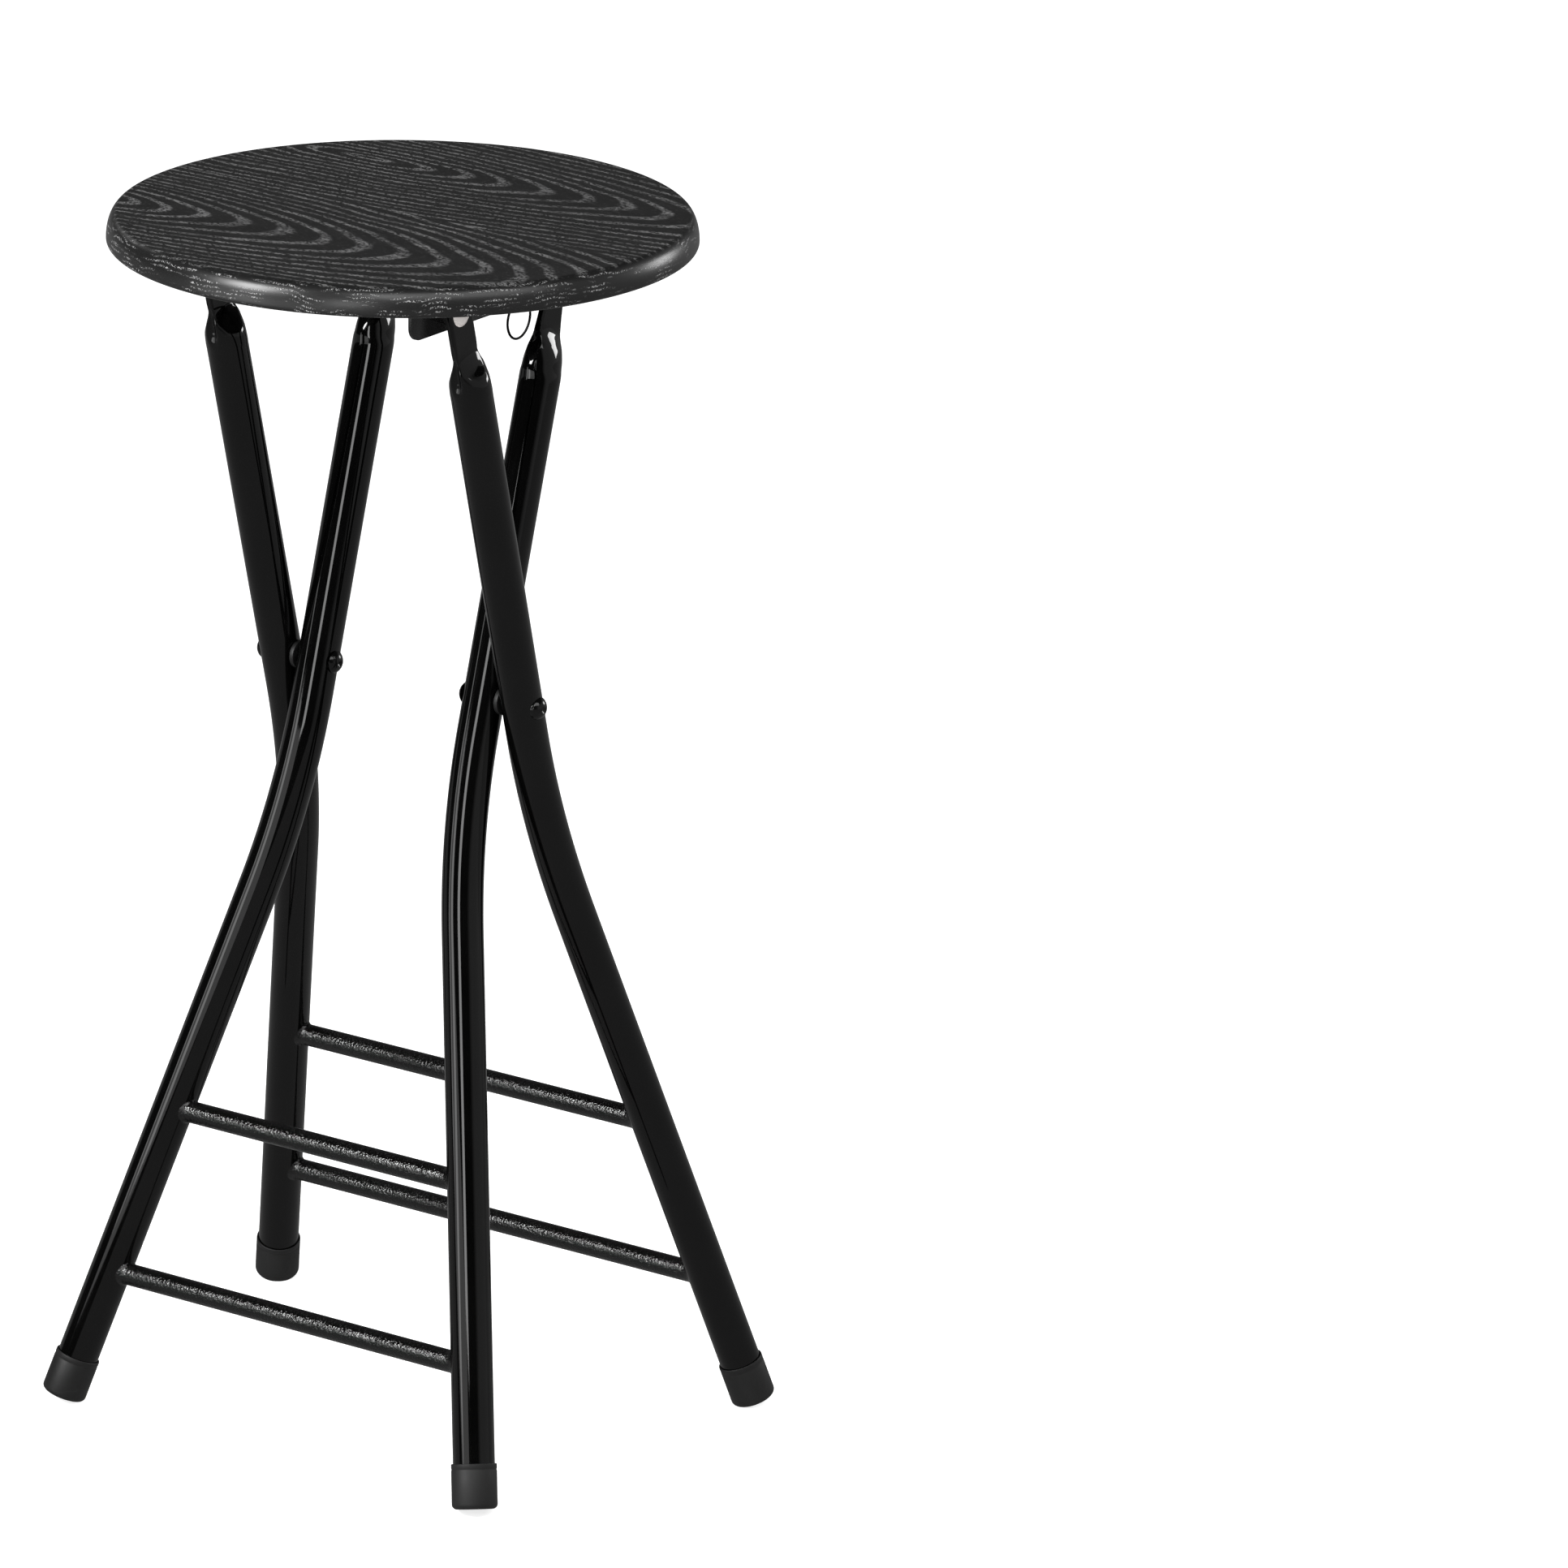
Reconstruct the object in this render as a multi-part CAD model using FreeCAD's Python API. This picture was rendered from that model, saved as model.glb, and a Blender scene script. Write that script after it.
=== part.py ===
"""Folding bar stool: two crossed tube frames, a tilting round seat, and their pivots.

All lengths are in millimetres. +X runs along the crossbars, +Y points to the rear
and +Z points up. The origin is on the floor under the middle of the seat.
The stool is built in its open state, as it stands in use.
"""
import os
from math import cos, radians, sin, sqrt

import FreeCAD
import Part

Vec = FreeCAD.Vector

# Heights above the floor
SEAT_TOP = 610.0
PIVOT_HEIGHT = 374.8          # axis where the two frames cross
SOLE_HEIGHT = 3.6             # middle of a foot cap's sole before the floor cuts it
OUTER_BAR_HEIGHTS = {"upper": 151.8, "lower": 68.7}
INNER_BAR_HEIGHTS = {"upper": 150.2, "lower": 67.0}

# Main frames
OUTER_TILT = 14.6             # degrees from upright, feet to the rear
INNER_TILT = 16.1             # degrees from upright, feet to the front
TUBE_RADIUS = 10.25
TUBE_WALL = 0.9
OUTER_LEG_X = 73.6            # leg axis at the pivot, outer frame
LEG_GAP = 2.5                 # space between an outer and an inner leg
INNER_LEG_X = OUTER_LEG_X - 2 * TUBE_RADIUS - LEG_GAP

# The bend that spreads each leg below the pivot
BEND_START = 16.7             # straight length below the pivot
BEND_RADIUS = 425.0
BEND_ANGLE = 13.5

# Pressed flat top of each leg
FLAT_HALF = 2 * TUBE_WALL     # four layers of wall lie together
FLAT_HALF_WIDTH = 8.6
INNER_PRESS_DROP = 2.5        # the inner legs are pressed this much further below their eye
EYE_ABOVE_PRESS = 44.0        # from the start of the press up to the eye
EYE_TOP_EXTRA = 5.0           # stock above the rounded end, cut away
SOLID_BELOW_PRESS = 4.0       # the tube's bore ends this far below the press
# Distance above the start of the press, and what it leaves of the half thickness and half width
PRESS_FACES = ((2.0, TUBE_RADIUS), (5.0, 9.8), (8.0, 9.0), (11.0, 7.4), (14.0, 5.5),
               (18.0, 3.4), (22.0, 2.1), (26.0, FLAT_HALF))
PRESS_EDGES = ((12.0, TUBE_RADIUS), (17.0, 9.9), (22.0, 9.1), (28.0, FLAT_HALF_WIDTH))
# The folded-in tuck on each narrow side: distance, half opening, depth
TUCK = ((6.0, 2.0, 0.4), (10.0, 2.8, 2.6), (16.0, 1.9, 4.2), (26.0, 0.35, 4.6))
TUCK_FULL_WIDTH = 14.0        # below this distance the tuck starts from the round tube
TUCK_END = 60.0
TUCK_LIP = 0.9

# Crossbars
BAR_RADIUS = 5.5
BAR_WALL = 1.2

# Foot caps
CAP_RADIUS = 11.2
CAP_LENGTH = 21.0
CAP_FLOOR = 3.0
CAP_EDGE = 2.5
CAP_WEAR = 1.1                # extra sole that the floor face is cut from
CAP_FIT = 0.03

# Pivots of the frames
MID_SHANK = 3.0
MID_HEAD_RADIUS = 5.6
MID_HEAD_HEIGHT = 3.1
MID_SPACER_RADIUS = 7.0
RUNNING_FIT = 0.05
FACE_GAP = 0.3                # between a part that turns and a round face

# Seat board
SEAT_THICKNESS = 14.0
SEAT_RADIUS = 143.2
SEAT_SHOULDER = (5.6, 12.4)   # width and height of the round-over
SEAT_LOWER_EDGE = SEAT_THICKNESS - SEAT_SHOULDER[1]
SEAT_BOTTOM = SEAT_TOP - SEAT_THICKNESS

# Seat brackets
BRACKET_FACE_X = 66.5         # outer face of the upright plate
BRACKET_PLATE = 2.0
BRACKET_DROP = 22.3           # below the seat's underside
BRACKET_BOTTOM = SEAT_BOTTOM - BRACKET_DROP
BRACKET_FRONT_REACH = 27.7    # ahead of the seat rivet
BRACKET_REAR_REACH = 16.3     # behind the support rod
BRACKET_CORNER = 7.0
FLANGE_WIDTH = 20.0
FLANGE_CORNER = 5.0
FLANGE_FRONT_INSET = 12.0     # from the front edge of the upright plate
FLANGE_REAR_INSET = 4.0
SLOT_FIT = 0.3
SLOT_LEAD = 1.6

# Share of a rivet head's radius that is left flat at its crown
CROWN_SHARE = 0.12

# Seat rivets
SEAT_PIVOT_DROP = 12.2        # below the seat's underside
SEAT_SHANK = 3.0
SEAT_HEAD_RADIUS = 6.5
SEAT_HEAD_HEIGHT = 2.6
SEAT_TAIL_RADIUS = 4.6
SEAT_TAIL_HEIGHT = 1.6
SEAT_SPACER_RADIUS = 6.5

# Support rod
ROD_DROP = 21.4               # below the seat's underside
ROD_RADIUS = 4.0
ROD_HALF_LENGTH = 69.5
ROD_FIT = 0.03

# Screws that hold the brackets
SCREW_FRONT_INSET = 12.0      # from the front edge of the flange
SCREW_REAR_INSETS = (40.0, 10.0)
SCREW_X = 56.0
SCREW_SHANK = 1.75
SCREW_DEPTH = 9.0
SCREW_HEAD_RADIUS = 3.7
SCREW_HEAD_HEIGHT = 2.2
SCREW_FIT = 0.05

# Ring that hangs from the right bracket
RING_RADIUS = 9.8
RING_WIRE = 0.55
RING_TURN = 24.0              # degrees between the ring and the X axis
RING_SWING = 20.0             # degrees that the ring has swung to the front
RING_HOLE_RADIUS = 1.7
RING_DROP = 20.3              # top of the wire's middle line, below the seat's underside
RING_HOLE_RISE = 0.5          # middle of the hole above that
RING_Y = 8.9

BIG = 900.0


def frame_placement(tilt):
    """Return the placement that tilts an upright frame about the pivot axis."""
    turn = FreeCAD.Rotation(Vec(1, 0, 0), tilt)
    return FreeCAD.Placement(Vec(0, 0, PIVOT_HEIGHT), turn)


def along_frame(height, tilt):
    """Return the distance along a frame, from the pivot, of a place at this height."""
    return (height - PIVOT_HEIGHT) / cos(radians(tilt))


OUTER_PLACE = frame_placement(OUTER_TILT)
INNER_PLACE = frame_placement(-INNER_TILT)
SEAT_PIVOT_S = along_frame(SEAT_BOTTOM - SEAT_PIVOT_DROP, OUTER_TILT)
TOP_ROD_S = along_frame(SEAT_BOTTOM - ROD_DROP, INNER_TILT)
SEAT_PIVOT = OUTER_PLACE.multVec(Vec(0, 0, SEAT_PIVOT_S))
TOP_ROD = INNER_PLACE.multVec(Vec(0, 0, TOP_ROD_S))
BRACKET_FRONT_Y = SEAT_PIVOT.y - BRACKET_FRONT_REACH
BRACKET_REAR_Y = TOP_ROD.y + BRACKET_REAR_REACH
FLANGE_FRONT_Y = BRACKET_FRONT_Y + FLANGE_FRONT_INSET
FLANGE_REAR_Y = BRACKET_REAR_Y - FLANGE_REAR_INSET
SCREW_YS = [FLANGE_FRONT_Y + SCREW_FRONT_INSET] + [FLANGE_REAR_Y - inset for inset in SCREW_REAR_INSETS]


def mirrored(shape):
    """Return the left-hand copy of a right-hand shape."""
    return shape.mirror(Vec(0, 0, 0), Vec(1, 0, 0))


def placed(shape, placement):
    """Return a copy of the shape moved by the placement."""
    moved = shape.copy()
    moved.Placement = placement.multiply(moved.Placement)
    return moved


def along_x(radius, x_from, x_to, y=0.0, z=0.0):
    """Return a cylinder whose axis is parallel to X."""
    return Part.makeCylinder(radius, x_to - x_from, Vec(x_from, y, z), Vec(1, 0, 0))


def leg_offset(s):
    """Return how far sideways the leg axis lies from its pivot, at s along the frame."""
    depth = -s - BEND_START
    if depth <= 0:
        return 0.0
    arc_depth = BEND_RADIUS * sin(radians(BEND_ANGLE))
    if depth <= arc_depth:
        return BEND_RADIUS - sqrt(BEND_RADIUS ** 2 - depth ** 2)
    rise = BEND_RADIUS * (1 - cos(radians(BEND_ANGLE)))
    return rise + (depth - arc_depth) * sin(radians(BEND_ANGLE)) / cos(radians(BEND_ANGLE))


def foot_direction():
    """Return the unit vector down the lower part of a leg, in the upright frame."""
    return Vec(sin(radians(BEND_ANGLE)), 0, -cos(radians(BEND_ANGLE)))


def leg_path(leg_x, top_s, end_point):
    """Return the wire down the middle of a leg, from its top to its foot."""
    top = Vec(leg_x, 0, top_s)
    bend_top = Vec(leg_x, 0, -BEND_START)
    half = radians(BEND_ANGLE / 2)
    full = radians(BEND_ANGLE)
    bend_mid = Vec(leg_x + BEND_RADIUS * (1 - cos(half)), 0, -BEND_START - BEND_RADIUS * sin(half))
    bend_low = Vec(leg_x + BEND_RADIUS * (1 - cos(full)), 0, -BEND_START - BEND_RADIUS * sin(full))
    bend = Part.Arc(bend_top, bend_mid, bend_low).toShape()
    return Part.Wire([Part.makeLine(top, bend_top), bend, Part.makeLine(bend_low, end_point)])


def leg_rod(leg_x, radius, top_s, end_point):
    """Return the solid rod of one radius along a leg."""
    path = leg_path(leg_x, top_s, end_point)
    circle = Part.Wire(Part.makeCircle(radius, Vec(leg_x, 0, top_s), Vec(0, 0, -1)))
    return path.makePipeShell([circle], True, False)


def press_profile(points, press_s, end_s, sign, axis):
    """Return the region kept on one side of a press, as a thick slab.

    The profile is drawn in the plane of the given axis and the leg.
    """
    outline = [(s + press_s, sign * half) for s, half in points]
    low = (outline[0][0] - 1.5, outline[0][1] * 1.02)
    start = (-BIG, outline[0][1] * 1.02)
    end = (end_s, outline[-1][1])

    def spot(s, across):
        return Vec(across, -BIG / 2, s) if axis == "x" else Vec(-BIG / 2, across, s)

    curve = Part.BSplineCurve()
    curve.interpolate([spot(*p) for p in [low] + outline])
    far = -sign * 4 * TUBE_RADIUS
    edges = [Part.makeLine(spot(*start), spot(*low)), curve.toShape(),
             Part.makeLine(spot(*outline[-1]), spot(*end)),
             Part.makeLine(spot(*end), spot(end_s, far)),
             Part.makeLine(spot(end_s, far), spot(-BIG, far)),
             Part.makeLine(spot(-BIG, far), spot(*start))]
    face = Part.Face(Part.Wire(edges))
    return face.extrude(Vec(0, BIG, 0) if axis == "x" else Vec(BIG, 0, 0))


def tuck_cut(press_s, sign):
    """Return the wedge that is folded in on one narrow side of the flat."""
    wires = []
    rows = list(TUCK) + [(TUCK_END, TUCK[-1][1], TUCK[-1][2])]
    for s, half, depth in rows:
        edge = sign * 2 * TUBE_RADIUS
        width_here = TUBE_RADIUS if s < TUCK_FULL_WIDTH else FLAT_HALF_WIDTH + TUCK_LIP
        inner = sign * (width_here - depth)
        outward = half * (abs(edge) - abs(inner)) / depth
        corners = [Vec(0, inner, s + press_s), Vec(-outward, edge, s + press_s),
                   Vec(outward, edge, s + press_s)]
        wires.append(Part.makePolygon(corners + corners[:1]))
    return Part.makeLoft(wires, True, True)


def cap_base(leg_x, foot_s):
    """Return the bottom centre of a foot cap before the floor cuts it."""
    base = Vec(leg_x + leg_offset(foot_s), 0, foot_s)
    return base.add(foot_direction().multiply(CAP_WEAR))


def half_space(low_s):
    """Return a block that holds everything of a leg above this distance."""
    return Part.makeBox(BIG, BIG, BIG, Vec(-BIG / 2, -BIG / 2, low_s))


def make_leg(leg_x, foot_s, press_drop, eye_s, pivot_hole, eye_hole):
    """Return one right-hand leg in its upright frame: tube, flat top and holes."""
    end_point = cap_base(leg_x, foot_s).sub(foot_direction().multiply(CAP_FLOOR + CAP_WEAR))
    press_s = eye_s - EYE_ABOVE_PRESS - press_drop
    top_s = eye_s + FLAT_HALF_WIDTH + EYE_TOP_EXTRA
    rod = leg_rod(leg_x, TUBE_RADIUS, top_s, end_point)
    centred = rod.translated(Vec(-leg_x, 0, 0))
    solid_s = press_s - SOLID_BELOW_PRESS
    crown = centred.common(half_space(solid_s))
    for sign in (-1, 1):
        crown = crown.common(press_profile(PRESS_FACES, press_s, top_s + 1, sign, "x"))
        crown = crown.common(press_profile(PRESS_EDGES, press_s, top_s + 1, sign, "y"))
    crown = crown.cut(half_space(eye_s).cut(along_x(FLAT_HALF_WIDTH, -BIG, BIG, 0, eye_s)))
    for sign in (-1, 1):
        crown = crown.cut(tuck_cut(press_s, sign))
    shaft = centred.cut(half_space(solid_s))
    bore = leg_rod(leg_x, TUBE_RADIUS - TUBE_WALL, solid_s, end_point)
    shaft = shaft.cut(bore.translated(Vec(-leg_x, 0, 0)))
    leg = shaft.fuse(crown).removeSplitter()
    leg = leg.cut(along_x(pivot_hole, -2 * TUBE_RADIUS, 2 * TUBE_RADIUS))
    leg = leg.cut(along_x(eye_hole, -2 * TUBE_RADIUS, 2 * TUBE_RADIUS, 0, eye_s))
    return leg.translated(Vec(leg_x, 0, 0))


def make_crossbar(leg_x, foot_s, bar_s):
    """Return a crossbar, its ends cut to sit against both legs, in the upright frame."""
    reach = leg_x + leg_offset(bar_s)
    bar = along_x(BAR_RADIUS, -reach, reach, 0, bar_s)
    bar = bar.cut(along_x(BAR_RADIUS - BAR_WALL, -reach, reach, 0, bar_s))
    rod = leg_rod(leg_x, TUBE_RADIUS, 0, cap_base(leg_x, foot_s))
    return bar.cut(rod).cut(mirrored(rod))


def make_cap(leg_x, foot_s, placement):
    """Return a foot cap in its place, with a flat cut where it stands on the floor."""
    base = cap_base(leg_x, foot_s)
    up = foot_direction().multiply(-1)
    body = Part.makeCylinder(CAP_RADIUS, CAP_LENGTH + CAP_WEAR, base, up)
    sole = [e for e in body.Edges if len(e.Vertexes) == 1 and e.CenterOfMass.distanceToPoint(base) < 1]
    body = body.makeFillet(CAP_EDGE, sole)
    mouth = base.add(foot_direction().multiply(-CAP_FLOOR - CAP_WEAR))
    body = body.cut(Part.makeCylinder(TUBE_RADIUS + CAP_FIT, CAP_LENGTH + CAP_WEAR, mouth, up))
    body = placed(body, placement)
    return body.cut(Part.makeBox(BIG, BIG, 50, Vec(-BIG / 2, -BIG / 2, -50)))


def dome(radius, height, flat_x, direction, y, z):
    """Return a domed rivet head that stands on a plane facing X, its crown slightly flat."""
    ball = (radius ** 2 + height ** 2) / (2 * height)
    crown = radius * CROWN_SHARE
    top = height - ball + sqrt(ball ** 2 - crown ** 2)
    middle = (radius + crown) / 2
    middle_x = height - ball + sqrt(ball ** 2 - middle ** 2)

    def spot(out, up):
        return Vec(flat_x + direction * out, y, z + up)

    arc = Part.Arc(spot(0, radius), spot(middle_x, middle), spot(top, crown)).toShape()
    edges = [Part.makeLine(spot(0, 0), spot(0, radius)), arc,
             Part.makeLine(spot(top, crown), spot(top, 0)),
             Part.makeLine(spot(top, 0), spot(0, 0))]
    return Part.Face(Part.Wire(edges)).revolve(Vec(0, y, z), Vec(1, 0, 0), 360)


def make_mid_rivet():
    """Return the right pivot rivet with both heads, in the upright frame at s = 0."""
    outer_crest = OUTER_LEG_X + TUBE_RADIUS
    inner_crest = INNER_LEG_X - TUBE_RADIUS - FACE_GAP
    skirt = 2.0
    shank = along_x(MID_SHANK, inner_crest - 0.5, outer_crest + 0.5)
    outer = dome(MID_HEAD_RADIUS, MID_HEAD_HEIGHT, outer_crest, 1, 0, 0)
    outer = outer.fuse(along_x(MID_HEAD_RADIUS, outer_crest - skirt, outer_crest))
    outer = outer.cut(Part.makeCylinder(TUBE_RADIUS, 60, Vec(OUTER_LEG_X, 0, -30), Vec(0, 0, 1)))
    inner = dome(MID_HEAD_RADIUS, MID_HEAD_HEIGHT, inner_crest, -1, 0, 0)
    rivet = shank.fuse([outer, inner])
    for crest, direction in ((outer_crest, 1), (inner_crest, -1)):
        tip = crest + direction * MID_HEAD_HEIGHT
        dimple = Part.makeCone(2.1, 0.7, 1.3, Vec(tip, 0, 0), Vec(-direction, 0, 0))
        rivet = rivet.cut(dimple)
    return rivet.removeSplitter()


def make_mid_spacer():
    """Return the right spacer between the crossed legs, in the upright frame."""
    start = INNER_LEG_X + TUBE_RADIUS + FACE_GAP
    end = OUTER_LEG_X - TUBE_RADIUS
    disc = along_x(MID_SPACER_RADIUS, start, end)
    return disc.cut(along_x(MID_SHANK + RUNNING_FIT, start - 1, end + 1))


def make_seat_board():
    """Return the round seat board with its rounded shoulder and screw holes."""
    wide, high = SEAT_SHOULDER
    flat_r = SEAT_RADIUS - wide
    low_z = SEAT_TOP - high
    steps = 8
    curve = Part.BSplineCurve()
    points = []
    for i in range(steps + 1):
        angle = radians(90.0 * i / steps)
        points.append(Vec(flat_r + wide * cos(angle), 0, low_z + high * sin(angle)))
    curve.interpolate(Points=points, InitialTangent=Vec(0, 0, 1), FinalTangent=Vec(-1, 0, 0))
    corner = Vec(SEAT_RADIUS - SEAT_LOWER_EDGE, 0, SEAT_BOTTOM)
    side = Vec(SEAT_RADIUS, 0, SEAT_BOTTOM + SEAT_LOWER_EDGE)
    turn = SEAT_LOWER_EDGE * (1 - cos(radians(45)))
    mid = Vec(SEAT_RADIUS - turn, 0, SEAT_BOTTOM + turn)
    edges = [Part.makeLine(Vec(0, 0, SEAT_BOTTOM), corner), Part.Arc(corner, mid, side).toShape()]
    if side.distanceToPoint(points[0]) > 1e-6:
        edges.append(Part.makeLine(side, points[0]))
    edges += [curve.toShape(), Part.makeLine(points[-1], Vec(0, 0, SEAT_TOP)),
              Part.makeLine(Vec(0, 0, SEAT_TOP), Vec(0, 0, SEAT_BOTTOM))]
    board = Part.Face(Part.Wire(edges)).revolve(Vec(0, 0, 0), Vec(0, 0, 1), 360)
    for x in (-SCREW_X, SCREW_X):
        for y in SCREW_YS:
            board = board.cut(Part.makeCylinder(SCREW_SHANK + SCREW_FIT, SCREW_DEPTH + 0.5,
                                                Vec(x, y, SEAT_BOTTOM)))
    return board


def make_bracket(with_ring_hole):
    """Return the right seat bracket: upright plate, inward flange, notch and holes."""
    inner_x = BRACKET_FACE_X - BRACKET_PLATE
    plate = Part.makeBox(BRACKET_PLATE, BRACKET_REAR_Y - BRACKET_FRONT_Y, BRACKET_DROP,
                         Vec(inner_x, BRACKET_FRONT_Y, BRACKET_BOTTOM))
    ends = [e for e in plate.Edges
            if abs(e.Vertexes[0].Point.x - e.Vertexes[1].Point.x) > 1
            and (e.CenterOfMass.z < BRACKET_BOTTOM + 1 or e.CenterOfMass.y < BRACKET_FRONT_Y + 1)]
    plate = plate.makeFillet(BRACKET_CORNER, ends)
    flange = Part.makeBox(FLANGE_WIDTH, FLANGE_REAR_Y - FLANGE_FRONT_Y, BRACKET_PLATE,
                          Vec(BRACKET_FACE_X - FLANGE_WIDTH, FLANGE_FRONT_Y, SEAT_BOTTOM - BRACKET_PLATE))
    corners = [e for e in flange.Edges
               if abs(e.Vertexes[0].Point.z - e.Vertexes[1].Point.z) > 1
               and e.CenterOfMass.x < inner_x - 1]
    flange = flange.makeFillet(FLANGE_CORNER, corners)
    bracket = plate.fuse(flange).removeSplitter()
    pivot = along_x(SEAT_SHANK + RUNNING_FIT, inner_x - 5, BRACKET_FACE_X + 5, SEAT_PIVOT.y, SEAT_PIVOT.z)
    bracket = bracket.cut(pivot)
    notch = ROD_RADIUS + SLOT_FIT
    bracket = bracket.cut(along_x(notch, inner_x - 5, BRACKET_FACE_X + 5, TOP_ROD.y, TOP_ROD.z))
    lead_z = BRACKET_BOTTOM - 0.01
    lead = Part.makePolygon([
        Vec(inner_x - 5, TOP_ROD.y - notch - SLOT_LEAD, lead_z),
        Vec(inner_x - 5, TOP_ROD.y + notch + SLOT_LEAD * 0.4, lead_z),
        Vec(inner_x - 5, TOP_ROD.y, lead_z + notch),
        Vec(inner_x - 5, TOP_ROD.y - notch - SLOT_LEAD, lead_z)])
    bracket = bracket.cut(Part.Face(lead).extrude(Vec(20, 0, 0)))
    for y in SCREW_YS:
        bracket = bracket.cut(Part.makeCylinder(SCREW_SHANK + SCREW_FIT, 20,
                                                Vec(SCREW_X, y, SEAT_BOTTOM - 10)))
    if with_ring_hole:
        bracket = bracket.cut(along_x(RING_HOLE_RADIUS, inner_x - 5, BRACKET_FACE_X + 5,
                                      RING_Y, SEAT_BOTTOM - RING_DROP + RING_HOLE_RISE))
    return bracket


def make_screws():
    """Return the six bracket screws as one group of separate solids."""
    screws = []
    seat_z = SEAT_BOTTOM - BRACKET_PLATE
    for x in (-SCREW_X, SCREW_X):
        for y in SCREW_YS:
            head = Part.makeCylinder(SCREW_HEAD_RADIUS, SCREW_HEAD_HEIGHT, Vec(x, y, seat_z), Vec(0, 0, -1))
            rim = [e for e in head.Edges
                   if len(e.Vertexes) == 1 and e.CenterOfMass.z < seat_z - SCREW_HEAD_HEIGHT + 0.1]
            head = head.makeFillet(1.2, rim)
            shank = Part.makeCylinder(SCREW_SHANK, SCREW_DEPTH + BRACKET_PLATE, Vec(x, y, seat_z - 0.5))
            screw = head.fuse(shank).removeSplitter()
            tip = seat_z - SCREW_HEAD_HEIGHT
            for wide, deep in ((3.6, 0.8), (0.8, 3.6)):
                screw = screw.cut(Part.makeBox(wide, deep, 1.2, Vec(x - wide / 2, y - deep / 2, tip)))
            screws.append(screw)
    return Part.makeCompound(screws)


def make_seat_rivet():
    """Return the right seat rivet: domed outer head, shank and formed inner end."""
    y, z = SEAT_PIVOT.y, SEAT_PIVOT.z
    outer_face = OUTER_LEG_X + FLAT_HALF
    inner_face = BRACKET_FACE_X - BRACKET_PLATE
    shank = along_x(SEAT_SHANK, inner_face - 0.5, outer_face + 0.5, y, z)
    head = dome(SEAT_HEAD_RADIUS, SEAT_HEAD_HEIGHT, outer_face, 1, y, z)
    tail = dome(SEAT_TAIL_RADIUS, SEAT_TAIL_HEIGHT, inner_face, -1, y, z)
    return shank.fuse([head, tail]).removeSplitter()


def make_seat_spacer():
    """Return the right spacer between the flat of the outer leg and the bracket."""
    y, z = SEAT_PIVOT.y, SEAT_PIVOT.z
    end = OUTER_LEG_X - FLAT_HALF
    disc = along_x(SEAT_SPACER_RADIUS, BRACKET_FACE_X, end, y, z)
    return disc.cut(along_x(SEAT_SHANK + RUNNING_FIT, BRACKET_FACE_X - 1, end + 1, y, z))


def make_ring():
    """Return the wire ring that hangs through the right bracket."""
    held = Vec(BRACKET_FACE_X - BRACKET_PLATE / 2, RING_Y, SEAT_BOTTOM - RING_DROP)
    normal = Vec(sin(radians(RING_TURN)), cos(radians(RING_TURN)), 0)
    ring = Part.makeTorus(RING_RADIUS, RING_WIRE, held - Vec(0, 0, RING_RADIUS), normal)
    return ring.rotated(held, Vec(1, 0, 0), -RING_SWING)


def save(name, shape):
    """Write one node, after a check that its solids are sound."""
    if not shape.isValid() or not shape.Solids:
        raise ValueError("unsound shape: " + name)
    shape.exportStep("parts/" + name + ".step")
    print(name, len(shape.Solids), round(shape.Volume, 1))


def main():
    """Build every piece and write it to its own file."""
    os.makedirs("parts", exist_ok=True)
    frames = {
        "outer": (OUTER_PLACE, OUTER_TILT, OUTER_LEG_X, 0.0, SEAT_PIVOT_S, OUTER_BAR_HEIGHTS,
                  SEAT_SHANK + RUNNING_FIT),
        "inner": (INNER_PLACE, INNER_TILT, INNER_LEG_X, INNER_PRESS_DROP, TOP_ROD_S, INNER_BAR_HEIGHTS,
                  ROD_RADIUS + ROD_FIT)}
    for name, (place, tilt, leg_x, press_drop, eye_s, bars, eye_hole) in frames.items():
        foot_s = along_frame(SOLE_HEIGHT, tilt)
        leg = make_leg(leg_x, foot_s, press_drop, eye_s, MID_SHANK + RUNNING_FIT, eye_hole)
        leg = placed(leg, place)
        save(name + "_right_leg", leg)
        save(name + "_left_leg", mirrored(leg))
        cap = make_cap(leg_x, foot_s, place)
        save(name + "_right_foot_cap", cap)
        save(name + "_left_foot_cap", mirrored(cap))
        for level, height in bars.items():
            bar = placed(make_crossbar(leg_x, foot_s, along_frame(height, tilt)), place)
            save(name + "_" + level + "_crossbar", bar)
    pairs = {"mid_pivot_rivet": placed(make_mid_rivet(), OUTER_PLACE),
             "mid_pivot_spacer": placed(make_mid_spacer(), OUTER_PLACE),
             "seat_pivot_rivet": make_seat_rivet(),
             "seat_pivot_spacer": make_seat_spacer()}
    for name, shape in pairs.items():
        save("right_" + name, shape)
        save("left_" + name, mirrored(shape))
    save("seat_board", make_seat_board())
    save("right_seat_bracket", make_bracket(True))
    save("left_seat_bracket", mirrored(make_bracket(False)))
    save("bracket_screws", make_screws())
    save("inner_top_rod", along_x(ROD_RADIUS, -ROD_HALF_LENGTH, ROD_HALF_LENGTH, TOP_ROD.y, TOP_ROD.z))
    save("hanging_ring", make_ring())


main()
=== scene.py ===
"""Folding bar stool: detailed pieces, finishes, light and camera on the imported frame.

Sizes are in millimetres and become metres when a mesh is finished. +X runs along the
crossbars, +Y points to the rear and +Z points up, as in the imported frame.
"""

import logging
import math
from dataclasses import dataclass
from enum import Enum

import bmesh
import bpy
from bmesh.types import BMEdge, BMVert
from mathutils import Matrix, Vector

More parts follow.
